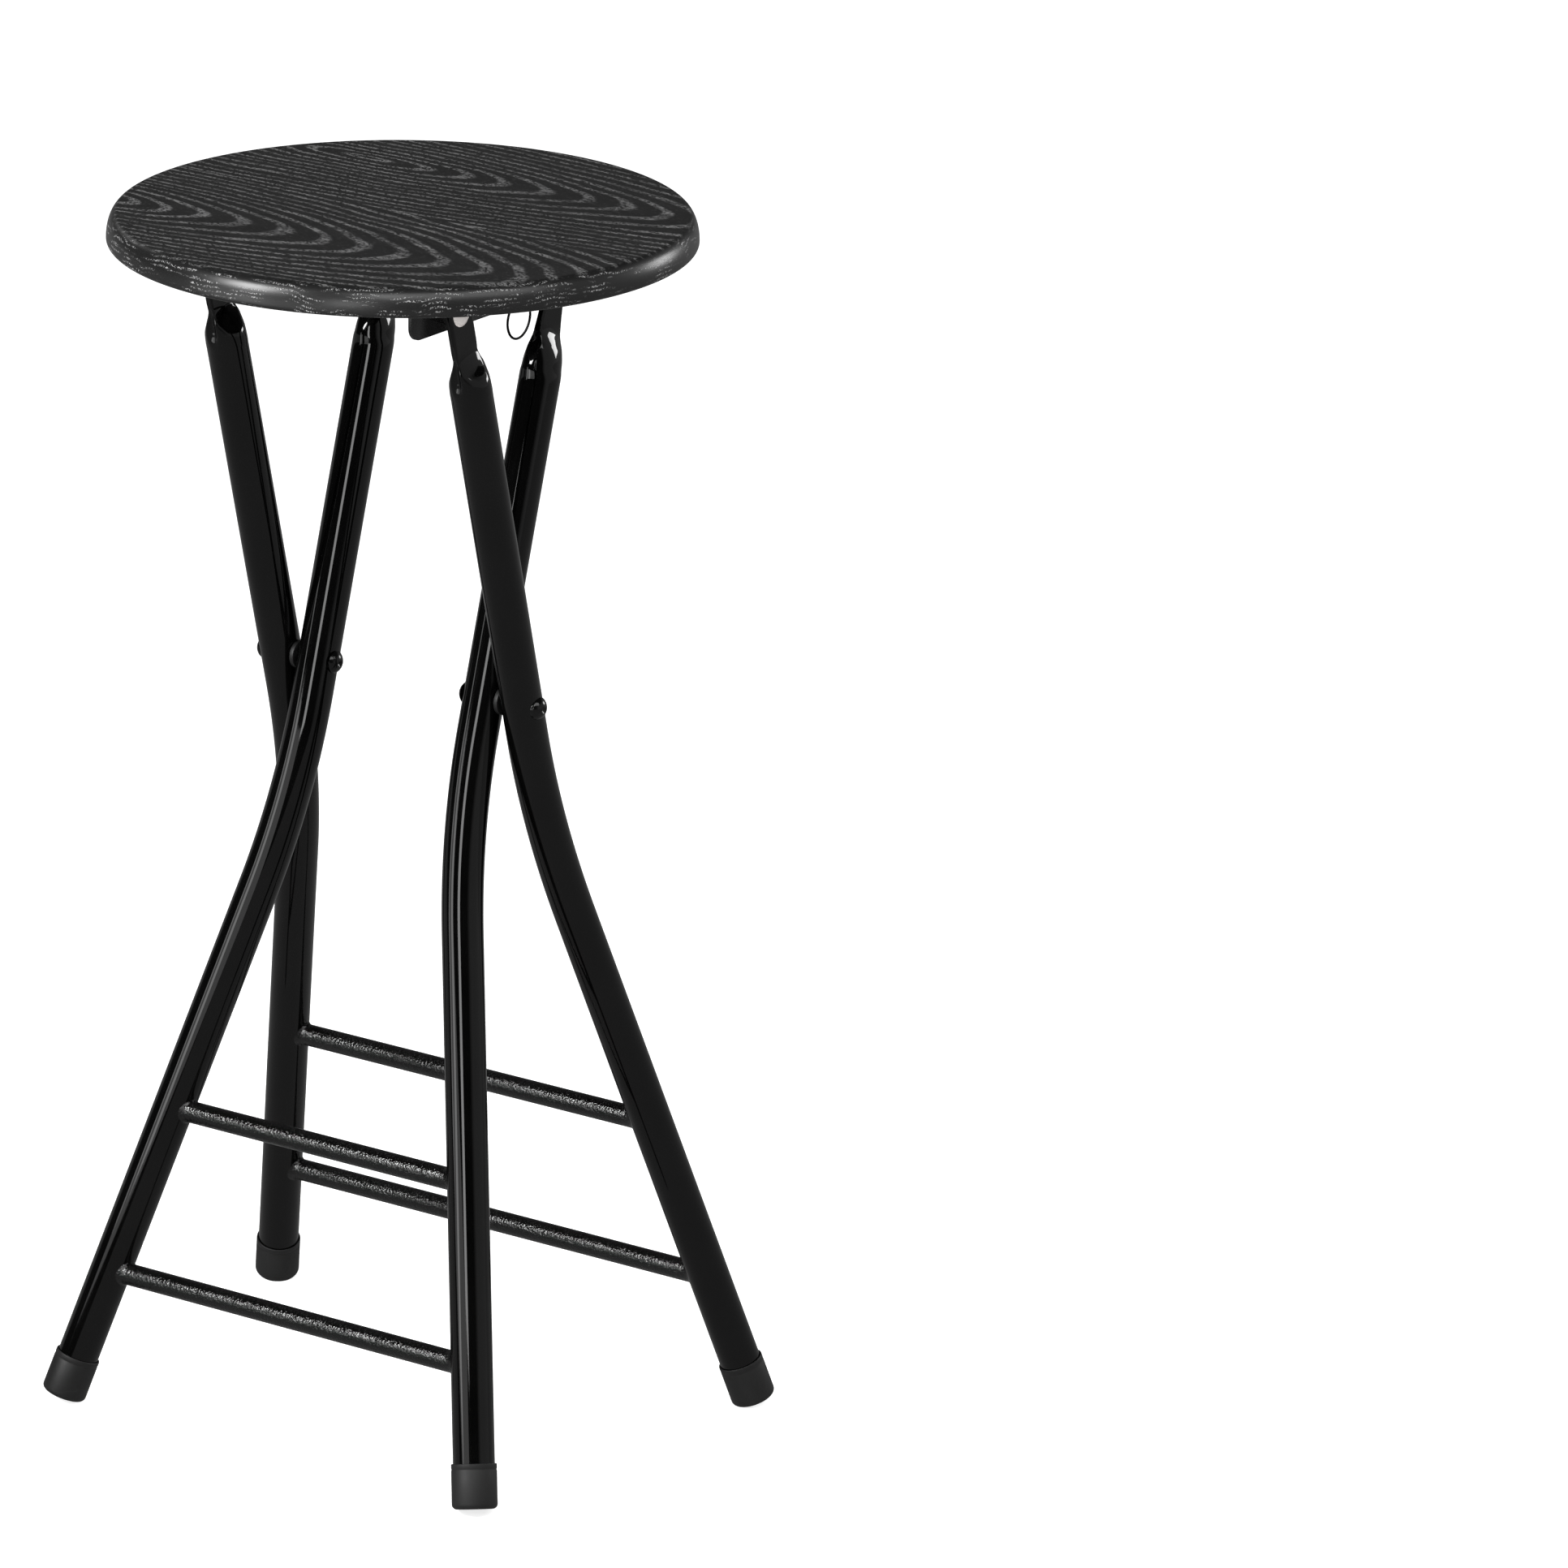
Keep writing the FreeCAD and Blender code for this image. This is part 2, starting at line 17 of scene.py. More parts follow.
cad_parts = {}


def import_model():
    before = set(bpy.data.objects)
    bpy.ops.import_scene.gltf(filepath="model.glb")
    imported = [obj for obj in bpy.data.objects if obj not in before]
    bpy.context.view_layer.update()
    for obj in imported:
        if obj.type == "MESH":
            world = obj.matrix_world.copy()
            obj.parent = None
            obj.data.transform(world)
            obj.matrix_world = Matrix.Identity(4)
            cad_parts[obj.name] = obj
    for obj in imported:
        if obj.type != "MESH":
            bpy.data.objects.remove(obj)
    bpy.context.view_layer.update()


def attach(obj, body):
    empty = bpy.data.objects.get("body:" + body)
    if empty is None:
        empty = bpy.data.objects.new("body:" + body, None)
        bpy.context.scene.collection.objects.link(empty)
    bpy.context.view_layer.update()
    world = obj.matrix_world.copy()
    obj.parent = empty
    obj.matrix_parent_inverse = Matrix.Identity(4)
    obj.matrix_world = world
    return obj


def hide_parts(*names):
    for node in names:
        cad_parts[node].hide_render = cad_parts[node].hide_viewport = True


LOG = logging.getLogger("stool")
Socket = bpy.types.NodeSocket
MM = 0.001
QUARTER = math.pi / 2

# Sizes shared with the part's source
SEAT_TOP = 610.0
SEAT_BOTTOM = 596.0
PIVOT_HEIGHT = 374.8
TUBE_RADIUS = 10.25
OUTER_LEG_X = 73.6
INNER_LEG_X = 50.6
FLAT_HALF = 1.8
BRACKET_FACE_X = 66.5
BRACKET_PLATE = 2.0
SEAT_PIVOT = Vector((0, -54.44, 583.8))
TOP_ROD = Vector((0, 57.67, 574.6))


class Body(Enum):
    """The rigid bodies that pieces ride on."""

    OUTER = "outer_frame"
    INNER = "inner_frame"
    SEAT = "seat"
    RING = "hanging_ring"


class Slot(Enum):
    """The finishes that the record names."""

    SEAT = "seat"
    TUBE = "tube"
    BAR = "bar"
    CAP = "cap"
    BRACKET = "bracket"
    SEAT_RIVET = "seat_rivet"
    MID_RIVET = "mid_rivet"
    SPACER = "spacer"
    ROD = "rod"
    SCREW = "screw"
    RING = "ring"


class Hand(Enum):
    """Which side of the stool a piece is on."""

    RIGHT = 1
    LEFT = -1

    @property
    def word(self) -> str:
        """Return the side's name as it stands in piece names."""
        return self.name.lower()


def eased(table: tuple, at: float) -> float:
    """Interpolate a table smoothly, without overshoot.

    Args:
        table: rows of place and value, in rising order of place.
        at: the place asked for.

    Returns:
        The value there; the end values hold outside the table.
    """
    if at <= table[0][0]:
        return table[0][1]
    if at >= table[-1][0]:
        return table[-1][1]
    slopes = [(b[1] - a[1]) / (b[0] - a[0]) for a, b in zip(table, table[1:])]
    tangents = [slopes[0]]
    for left, right in zip(slopes, slopes[1:]):
        tangents.append(0.0 if left * right <= 0 else 2 * left * right / (left + right))
    tangents.append(slopes[-1])
    row = next(i for i, high in enumerate(table[1:]) if at <= high[0])
    (low, start), (high, end) = table[row], table[row + 1]
    span = high - low
    t = (at - low) / span
    curve = (2 * t ** 3 - 3 * t ** 2 + 1) * start + (3 * t ** 2 - 2 * t ** 3) * end
    bend = (t ** 3 - 2 * t ** 2 + t) * tangents[row] + (t ** 3 - t ** 2) * tangents[row + 1]
    return curve + span * bend


def smoothstep(low: float, high: float, value: float) -> float:
    """Return a soft step from 0 at low to 1 at high."""
    t = min(1.0, max(0.0, (value - low) / (high - low)))
    return t * t * (3 - 2 * t)


def facing_x(x: float, y: float, z: float) -> Matrix:
    """Return the place of a turned piece whose axis points along +X from this point."""
    return Matrix.Translation((x, y, z)) @ Matrix.Rotation(QUARTER, 4, "Y")


def way_to(azimuth: float, elevation: float) -> Vector:
    """Return the unit vector at these angles in radians, azimuth 0 being the front."""
    flat = math.cos(elevation)
    return Vector((math.sin(azimuth) * flat, -math.cos(azimuth) * flat, math.sin(elevation)))


def grey(level: float) -> tuple:
    """Return an opaque neutral colour."""
    return (level, level, level, 1.0)


def add_object(name: str, data: bpy.types.ID) -> bpy.types.Object:
    """Put an object of this data into the scene, at the origin.

    Args:
        name: the object's name.
        data: its mesh, lamp or camera.

    Returns:
        The new object.
    """
    made = bpy.data.objects.new(name, data)
    bpy.context.scene.collection.objects.link(made)
    return made


class Shape:
    """One mesh in millimetres, shaped by bmesh operators."""

    def __init__(self) -> None:
        """Start an empty mesh."""
        self.bm = bmesh.new()

    def ring(self, radius: float, count: int, place: Matrix = Matrix.Identity(4)) -> list[BMEdge]:
        """Add an open circle and return its edges.

        Args:
            radius: radius of the circle.
            count: number of its edges.
            place: where it lies; it starts in the XY plane.

        Returns:
            Its edges.
        """
        made = bmesh.ops.create_circle(self.bm, cap_ends=False, segments=count, radius=radius,
                                       matrix=place)
        return list(dict.fromkeys(edge for vert in made["verts"] for edge in vert.link_edges))

    def pull(self, rim: list[BMEdge], move: tuple) -> list[BMEdge]:
        """Extrude a rim along a move and return the new rim.

        Args:
            rim: edges to extrude.
            move: how far the new rim moves.

        Returns:
            The new rim.
        """
        made = bmesh.ops.extrude_edge_only(self.bm, edges=rim)["geom"]
        moved = [item for item in made if isinstance(item, BMVert)]
        bmesh.ops.translate(self.bm, verts=moved, vec=move)
        return [item for item in made if isinstance(item, BMEdge)]

    def swing(self, rim: list[BMEdge], centre: tuple, axis: tuple, angle: float, steps: int,
              ) -> list[BMEdge]:
        """Spin a rim about an axis and return the last rim.

        Args:
            rim: edges to spin.
            centre: a point of the axis.
            axis: its direction.
            angle: the turn, in radians.
            steps: rows of faces.

        Returns:
            The last rim.
        """
        made = bmesh.ops.spin(self.bm, geom=rim + self.verts_of(rim), cent=centre, axis=axis,
                              dvec=(0, 0, 0), angle=angle, steps=steps)
        return [item for item in made["geom_last"] if isinstance(item, BMEdge)]

    @staticmethod
    def verts_of(edges: list[BMEdge]) -> list[BMVert]:
        """Return the vertices of some edges, each once and in the same order every run."""
        return list(dict.fromkeys(vert for edge in edges for vert in edge.verts))

    def close(self, rim: list[BMEdge]) -> None:
        """Close a rim with one face."""
        bmesh.ops.edgeloop_fill(self.bm, edges=rim)

    def round_corner(self, vert: BMVert, radius: float, steps: int) -> None:
        """Round one corner of a wire."""
        bmesh.ops.bevel(self.bm, geom=[vert], offset=radius, offset_type="OFFSET", segments=steps,
                        profile=0.5, affect="VERTICES", material=-1)

    def turn(self, steps: int) -> None:
        """Turn the wire in the XZ plane a full circle about Z.

        Args:
            steps: faces round the axis.
        """
        wire = self.bm.verts[:] + self.bm.edges[:]
        bmesh.ops.spin(self.bm, geom=wire, cent=(0, 0, 0), axis=(0, 0, 1), dvec=(0, 0, 0),
                       angle=math.tau, steps=steps, use_merge=True, use_duplicate=False)
        self.settle()

    def settle(self) -> None:
        """Merge doubles and point the faces outwards."""
        bmesh.ops.remove_doubles(self.bm, verts=self.bm.verts[:], dist=0.002)
        bmesh.ops.recalc_face_normals(self.bm, faces=self.bm.faces[:])

    def soften(self, offset: float, steps: int = 2, angle: float = 60.0) -> None:
        """Bevel every edge that is sharper than the angle.

        Args:
            offset: width of the bevel.
            steps: rows of faces across it.
            angle: the least turn of an edge, in degrees.
        """
        sharp = [edge for edge in self.bm.edges
                 if edge.is_manifold and edge.calc_face_angle(0.0) > math.radians(angle)]
        bmesh.ops.bevel(self.bm, geom=sharp, offset=offset, offset_type="OFFSET", segments=steps,
                        profile=0.5, affect="EDGES", clamp_overlap=True, material=-1)

    def place(self, matrix: Matrix, hand: Hand = Hand.RIGHT) -> "Shape":
        """Move the whole mesh, and mirror it across X for the left side.

        Args:
            matrix: the move, for the right side.
            hand: the side that the piece is on.

        Returns:
            The same shape.
        """
        bmesh.ops.transform(self.bm, matrix=matrix, verts=self.bm.verts[:])
        if hand is Hand.LEFT:
            bmesh.ops.scale(self.bm, vec=(-1, 1, 1), verts=self.bm.verts[:])
            bmesh.ops.reverse_faces(self.bm, faces=self.bm.faces[:])
        return self

    def cut_floor(self) -> None:
        """Cut the mesh flat where it stands on the floor."""
        geom = self.bm.verts[:] + self.bm.edges[:] + self.bm.faces[:]
        cut = bmesh.ops.bisect_plane(self.bm, geom=geom, dist=0.0005, plane_co=(0, 0, 0),
                                     plane_no=(0, 0, -1), clear_outer=True)
        self.close([item for item in cut["geom_cut"] if isinstance(item, BMEdge)])

    def finish(self, name: str, sharp: float = 40.0) -> bpy.types.Object:
        """Turn the mesh into a smooth-shaded object at the origin, in metres.

        Args:
            name: the piece's name.
            sharp: edges that turn by more degrees than this stay crisp.

        Returns:
            The new object.
        """
        bmesh.ops.scale(self.bm, vec=(MM, MM, MM), verts=self.bm.verts[:])
        mesh = bpy.data.meshes.new(name)
        self.bm.to_mesh(mesh)
        self.bm.free()
        for polygon in mesh.polygons:
            polygon.use_smooth = True
        mesh.set_sharp_from_angle(angle=math.radians(sharp))
        return add_object(name, mesh)


class Pen:
    """Draws a wire of a shape in the XZ plane, one stroke after another."""

    def __init__(self, shape: Shape, x: float, z: float) -> None:
        """Put the pen down at a point."""
        self.shape = shape
        self.first = self.last = shape.bm.verts.new((x, 0, z))

    def to(self, x: float, z: float) -> "Pen":
        """Draw a straight stroke.

        Args:
            x: X of the stroke's end.
            z: Z of the stroke's end.

        Returns:
            The same pen.
        """
        vert = self.shape.bm.verts.new((x, 0, z))
        self.shape.bm.edges.new((self.last, vert))
        self.last = vert
        return self

    def arc(self, x: float, z: float, degrees: float, steps: int) -> "Pen":
        """Draw an arc about a centre; positive degrees turn from +X towards +Z.

        Args:
            x: X of the centre.
            z: Z of the centre.
            degrees: the turn.
            steps: how many strokes draw it.

        Returns:
            The same pen.
        """
        made = bmesh.ops.spin(self.shape.bm, geom=[self.last], cent=(x, 0, z), axis=(0, -1, 0),
                              dvec=(0, 0, 0), angle=math.radians(degrees), steps=steps)
        self.last = next(item for item in made["geom_last"] if isinstance(item, BMVert))
        return self

    def shut(self) -> None:
        """Draw the stroke back to the first point."""
        self.shape.bm.edges.new((self.last, self.first))


class Nodes:
    """Adds and links shader nodes in one tree."""

    def __init__(self, tree: bpy.types.NodeTree) -> None:
        """Work on this tree."""
        self.tree = tree

    def add(self, kind: str, inputs: dict, **settings: object) -> bpy.types.Node:
        """Add a node, set its properties and feed its inputs.

        Args:
            kind: node type without the ShaderNode prefix.
            inputs: socket name or index to a value or an output socket.
            settings: node properties.

        Returns:
            The new node.
        """
        node = self.tree.nodes.new("ShaderNode" + kind)
        for key, value in settings.items():
            setattr(node, key, value)
        for key, value in inputs.items():
            self.feed(node.inputs[key], value)
        return node

    def feed(self, socket: Socket, value: object) -> None:
        """Link an output to a socket, or set the socket's value.

        Args:
            socket: an input.
            value: an output socket, or a value of its kind.
        """
        if isinstance(value, Socket):
            self.tree.links.new(value, socket)
        else:
            socket.default_value = value

    def math(self, operation: str, *values: object) -> Socket:
        """Add a maths node and return its output."""
        return self.add("Math", dict(enumerate(values)), operation=operation).outputs[0]

    def times(self, *values: object) -> Socket:
        """Multiply two or more values.

        Args:
            values: numbers or output sockets.

        Returns:
            The product.
        """
        product = values[0]
        for value in values[1:]:
            product = self.math("MULTIPLY", product, value)
        return product

    def ranged(self, value: object, low: float, high: float, to: tuple = (0.0, 1.0)) -> Socket:
        """Map a range of values softly to another range."""
        ends = {"Value": value, "From Min": low, "From Max": high, "To Min": to[0], "To Max": to[1]}
        return self.add("MapRange", ends, interpolation_type="SMOOTHSTEP").outputs[0]

    def mix(self, factor: object, a: object, b: object) -> Socket:
        """Mix two colours and return the result."""
        return self.add("Mix", {"Factor": factor, 6: a, 7: b}, data_type="RGBA").outputs[2]

    def coords(self) -> Socket:
        """Return the object's own coordinates, in metres."""
        return self.add("TexCoord", {}).outputs["Object"]

    def split(self, vector: Socket) -> bpy.types.bpy_prop_collection:
        """Return the x, y and z outputs of a vector."""
        return self.add("SeparateXYZ", {0: vector}).outputs

    def stretched(self, vector: Socket, x: float = 1.0, y: float = 1.0, z: float = 1.0) -> Socket:
        """Scale coordinates by a factor on each axis."""
        return self.add("VectorMath", {0: vector, 1: (x, y, z)}, operation="MULTIPLY").outputs[0]

    def noise(self, vector: Socket, scale: object, detail: float = 2.0, roughness: float = 0.5,
              ) -> Socket:
        """Add a noise texture and return its value."""
        return self.add("TexNoise", {"Vector": vector, "Scale": scale, "Detail": detail,
                                     "Roughness": roughness}).outputs["Fac"]

    def wander(self, vector: Socket, scale: float, detail: float, size: float) -> Socket:
        """Return noise about zero, with size as its whole spread."""
        return self.times(self.math("SUBTRACT", self.noise(vector, scale, detail), 0.5), size)

    def stripes(self, value: Socket, spacing: float, rise: tuple, fall: tuple) -> Socket:
        """Return soft lines across a value, their edges given in shares of the spacing."""
        phase = self.math("FRACT", self.math("DIVIDE", value, spacing))
        return self.times(self.ranged(phase, *rise), self.ranged(phase, *fall))

    def bump(self, height: Socket, strength: float, depth: float) -> Socket:
        """Return the normal that a height map gives; depth is in metres."""
        return self.add("Bump", {"Strength": strength, "Distance": depth,
                                 "Height": height}).outputs[0]

    def group(self, tree: bpy.types.NodeTree, **inputs: object) -> Socket:
        """Place a node group with its own values and return its output."""
        named = {key.replace("_", " "): value for key, value in inputs.items()}
        return self.add("Group", named, node_tree=tree).outputs[0]


class Effect:
    """A shader node group under construction, with one value as its output."""

    def __init__(self, name: str, inputs: dict, output: str) -> None:
        """Make the group and its sockets.

        Args:
            name: the group's name.
            inputs: socket name to its default value.
            output: name of the value put out.
        """
        self.tree = bpy.data.node_groups.new(name, "ShaderNodeTree")
        for label, default in inputs.items():
            self._socket(label, "INPUT").default_value = default
        self._socket(output, "OUTPUT")
        self.nodes = Nodes(self.tree)
        self.given = self.tree.nodes.new("NodeGroupInput").outputs

    def _socket(self, label: str, side: str) -> bpy.types.NodeTreeInterfaceSocket:
        """Add a socket for a number to the group's outside."""
        return self.tree.interface.new_socket(label, in_out=side, socket_type="NodeSocketFloat")

    def done(self, value: Socket) -> bpy.types.NodeTree:
        """Put a value out and return the finished group."""
        self.nodes.feed(self.tree.nodes.new("NodeGroupOutput").inputs[0], value)
        return self.tree


class Effects:
    """The shader groups that several finishes share."""

    def __init__(self) -> None:
        """Build each group once."""
        self.ripple = self._ripple()
        self.clouds = self._clouds()
        self.rings = self._rings()
        self.rubbed = self._rubbed()

    @staticmethod
    def _ripple() -> bpy.types.NodeTree:
        """Return the group for the small ripples of a coat: broad swells under fine peel.

        Returns:
            The group, with the height put out.
        """
        effect = Effect("coat_ripple", {"Fine": 500.0, "Broad": 90.0, "Swell": 0.6}, "Height")
        n, given = effect.nodes, effect.given
        coords = n.coords()
        fine = n.noise(coords, given["Fine"])
        broad = n.noise(coords, given["Broad"], detail=1.0)
        return effect.done(n.math("MULTIPLY_ADD", broad, given["Swell"], fine))

    @staticmethod
    def _clouds() -> bpy.types.NodeTree:
        """Return the group for faint cloudy change of tone, from 0 to 1.

        Returns:
            The group, with the mask put out.
        """
        effect = Effect("soft_clouds", {"Scale": 30.0}, "Mask")
        n = effect.nodes
        cloud = n.noise(n.coords(), effect.given["Scale"], detail=5.0, roughness=0.6)
        return effect.done(n.ranged(cloud, low=0.3, high=0.7))

    @staticmethod
    def _rubbed() -> bpy.types.NodeTree:
        """Return the group for sparse fine rub marks that run round a piece.

        Returns:
            The group, with the mask put out.
        """
        effect = Effect("rub_marks", {"Scale": 60.0, "Amount": 0.5}, "Mask")
        n, given = effect.nodes, effect.given
        streaks = n.noise(n.stretched(n.coords(), z=14.0), given["Scale"], detail=4.0,
                          roughness=0.7)
        sparse = n.noise(n.coords(), scale=24.0)
        return effect.done(n.times(n.ranged(streaks, low=0.6, high=0.72),
                                   n.ranged(sparse, low=0.45, high=0.65), given["Amount"]))

    @staticmethod
    def _rings() -> bpy.types.NodeTree:
        """Return the group for wood rings round a line that dips under the board.

        Its rings are arches with their tips towards +X on the line, and straight lines beside it.

        Returns:
            The group, with the distance from the line put out.
        """
        effect = Effect("wood_rings", {"X": 0.0, "Y": 0.0, "Line Y": 0.0, "Start X": 0.0,
                                       "Slope": 0.13}, "Distance")
        n, given = effect.nodes, effect.given
        across = n.math("SUBTRACT", given["Y"], given["Line Y"])
        depth = n.times(n.math("SUBTRACT", given["X"], given["Start X"]), given["Slope"])
        squares = n.math("MULTIPLY_ADD", depth, depth, n.times(across, across))
        return effect.done(n.math("SQRT", squares))


def new_material(name: str) -> tuple[bpy.types.Material, Nodes, bpy.types.bpy_prop_collection]:
    """Make a material and return it with its nodes and its shader's inputs.

    Args:
        name: the material's name.

    Returns:
        The material, its nodes and the shader's inputs.
    """
    material = bpy.data.materials.new(name)
    material.use_nodes = True
    tree = material.node_tree
    return material, Nodes(tree), tree.nodes["Principled BSDF"].inputs


@dataclass(frozen=True)
class Coat:
    """A coated, moulded or plated finish.

    Attributes:
        name: the material's name.
        color: base colour.
        shade: the colour that the clouds mix in.
        roughness: lowest and highest roughness.
        ripple: bump strength of the ripples.
        fine: scale of the fine ripples.
        broad: scale of the broad swells.
        swell: weight of the broad swells.
        cloud_scale: scale of the change of tone.
        rub: how strongly rub marks show.
        rub_color: colour of the rub marks.
        rub_rough: how much rougher the rub marks are.
        metallic: metallic value.
        depth: height of the ripples, in metres.
        specular: level of the mirror reflection, 0.5 being plain paint.
    """

    name: str
    color: tuple
    shade: tuple
    roughness: tuple
    ripple: float = 0.1
    fine: float = 500.0
    broad: float = 90.0
    swell: float = 0.6
    cloud_scale: float = 30.0
    rub: float = 0.0
    rub_color: tuple = grey(0.03)
    rub_rough: float = 0.3
    metallic: float = 0.0
    depth: float = 0.0002
    specular: float = 0.5

    def build(self, effects: Effects) -> bpy.types.Material:
        """Make the material.

        Args:
            effects: the shared shader groups.

        Returns:
            The material.
        """
        material, n, shader = new_material(self.name)
        shader["Metallic"].default_value = self.metallic
        shader["Specular IOR Level"].default_value = self.specular
        mask = n.group(effects.clouds, Scale=self.cloud_scale)
        color = n.mix(mask, self.color, self.shade)
        rough = n.ranged(mask, 0.0, 1.0, to=self.roughness)
        if self.rub:
            marks = n.group(effects.rubbed, Amount=self.rub)
            color = n.mix(marks, color, self.rub_color)
            rough = n.math("MULTIPLY_ADD", marks, self.rub_rough, rough)
        n.feed(shader["Base Color"], color)
        n.feed(shader["Roughness"], rough)
        height = n.group(effects.ripple, Fine=self.fine, Broad=self.broad, Swell=self.swell)
        n.feed(shader["Normal"], n.bump(height, self.ripple, self.depth))
        return material


@dataclass(frozen=True)
class GrainFilm:
    """Black film with a printed and embossed wood grain, wrapped over the seat board.

    Lengths are in metres.

    Attributes:
        lines: Y of the lines under the front and the rear arches, and X where each surfaces.
        slope: how fast both lines dip towards +X.
        spacing: distance between two grain lines.
        rim_spacing: distance between two lines of dots on the rim.
        rim: radii where the rim starts and where the flat top has ended.
        wrap: heights between which the underside's plain face gives way to the film.
        film: darkest and lightest tone of the film on the flat top.
        rim_film: tone of the film on the rim.
        underside: tone of the underside.
        ink: tone of the grain lines.
        rim_ink_and_glint: tone of the rim's dots: the grain's print, painted lighter than the top's
            print as painted glints of the embossed film.
        rough: roughness of the flat top and of the rim.
        ink_rough: how much rougher the print is.
        emboss: strength and height of the embossing.
        pores: height of the film's pores against the print's.
    """

    lines: tuple = ((-0.067, -0.153), (0.071, -0.075))
    slope: float = 0.232
    spacing: float = 0.0054
    rim_spacing: float = 0.0021
    rim: tuple = (0.1383, 0.1403)
    wrap: tuple = (0.5962, 0.5968)
    film: tuple = (0.006, 0.011)
    rim_film: float = 0.010
    underside: float = 0.012
    ink: float = 0.18
    rim_ink_and_glint: float = 0.34
    rough: tuple = (0.36, 0.29)
    ink_rough: float = 0.14
    emboss: tuple = (0.25, 0.0001)
    pores: float = 0.25

    def build(self, effects: Effects) -> bpy.types.Material:
        """Make the material.

        Args:
            effects: the shared shader groups.

        Returns:
            The material.
        """
        material, n, shader = new_material("black_grain_film")
        coords = n.coords()
        level = n.stretched(coords, z=0.0)
        radius = n.add("VectorMath", {0: level}, operation="LENGTH").outputs["Value"]
        rim = n.ranged(radius, *self.rim)
        flat = n.math("SUBTRACT", 1.0, rim)
        top = n.times(self._print(n, effects, coords), flat)
        # The rim's dots are the grain's print carried round the edge, painted lighter than the
        # top's print as painted glints of the embossed film
        edge = n.times(self._rim_dots(n, coords), rim)
        tone = n.noise(n.stretched(coords, x=0.12), scale=130.0, detail=3.0, roughness=0.6)
        color = n.mix(n.ranged(tone, low=0.3, high=0.7), *map(grey, self.film))
        for mask, over in ((rim, self.rim_film), (top, self.ink), (edge, self.rim_ink_and_glint)):
            color = n.mix(mask, color, grey(over))
        wrapped = n.ranged(n.split(coords)[2], *self.wrap)
        n.feed(shader["Base Color"], n.mix(wrapped, grey(self.underside), color))
        lines = n.math("ADD", top, edge)
        smooth = n.math("ADD", n.times(flat, self.rough[0]), n.times(rim, self.rough[1]))
        n.feed(shader["Roughness"], n.math("MULTIPLY_ADD", lines, self.ink_rough, smooth))
        pores = n.times(n.noise(coords, scale=1500.0, detail=1.0), self.pores)
        n.feed(shader["Normal"], n.bump(n.math("ADD", pores, lines), *self.emboss))
        return material

    def _print(self, n: Nodes, effects: Effects, coords: Socket) -> Socket:
        """Return the mask of the stippled grain lines, from 0 to 1.

        Args:
            n: the material's nodes.
            effects: the shared shader groups.
            coords: the board's own coordinates.

        Returns:
            The mask.
        """
        x, y = n.split(coords)[:2]
        along = n.stretched(coords, x=0.22)
        slow = n.wander(along, scale=24.0, detail=2.0, size=0.010)
        quick = n.wander(along, scale=150.0, detail=1.0, size=0.0008)
        y = n.math("ADD", y, n.math("ADD", slow, quick))
        near = [n.group(effects.rings, X=x, Y=y, Line_Y=line, Start_X=start, Slope=self.slope)
                for line, start in self.lines]
        swell = n.wander(n.stretched(coords, x=0.45), scale=40.0, detail=1.0, size=0.0055)
        distance = n.math("ADD", n.math("MINIMUM", *near), swell)
        line = n.stripes(distance, self.spacing, rise=(0.32, 0.44), fall=(0.80, 0.64))
        streaks = n.noise(n.stretched(coords, x=0.07), scale=210.0, roughness=0.6)
        streaks = n.ranged(streaks, 0.36, 0.60, to=(0.5, 1.0))
        patches = n.noise(n.stretched(coords, x=0.35), scale=60.0, roughness=0.6)
        patches = n.ranged(patches, 0.34, 0.60, to=(0.75, 1.0))
        inner_arches = n.ranged(distance, low=0.032, high=0.020)
        strength = n.times(n.math("MAXIMUM", streaks, inner_arches), patches)
        dots = n.noise(n.stretched(coords, x=0.55), scale=1250.0, detail=1.0)
        dotted = n.times(n.ranged(dots, low=0.42, high=0.55), line, strength)
        stray = n.ranged(dots, 0.62, 0.72, to=(0.0, 0.2))
        return n.math("MAXIMUM", dotted, stray)

    def _rim_dots(self, n: Nodes, coords: Socket) -> Socket:
        """Return the mask of the fine dots that run round the rim in broken lines: the grain's
        print, which the finish paints in a lighter tone as painted glints.

        Args:
            n: the material's nodes.
            coords: the board's own coordinates.

        Returns:
            The mask.
        """
        sway = n.wander(coords, scale=32.0, detail=2.0, size=0.012)
        z = n.math("ADD", n.split(coords)[2], sway)
        line = n.stripes(z, self.rim_spacing, rise=(0.2, 0.4), fall=(0.8, 0.6))
        breaks = n.noise(n.stretched(coords, z=4.0), scale=60.0, roughness=0.6)
        dots = n.noise(coords, scale=1500.0, detail=1.0)
        return n.times(n.ranged(dots, low=0.52, high=0.62), line,
                       n.ranged(breaks, low=0.46, high=0.6))


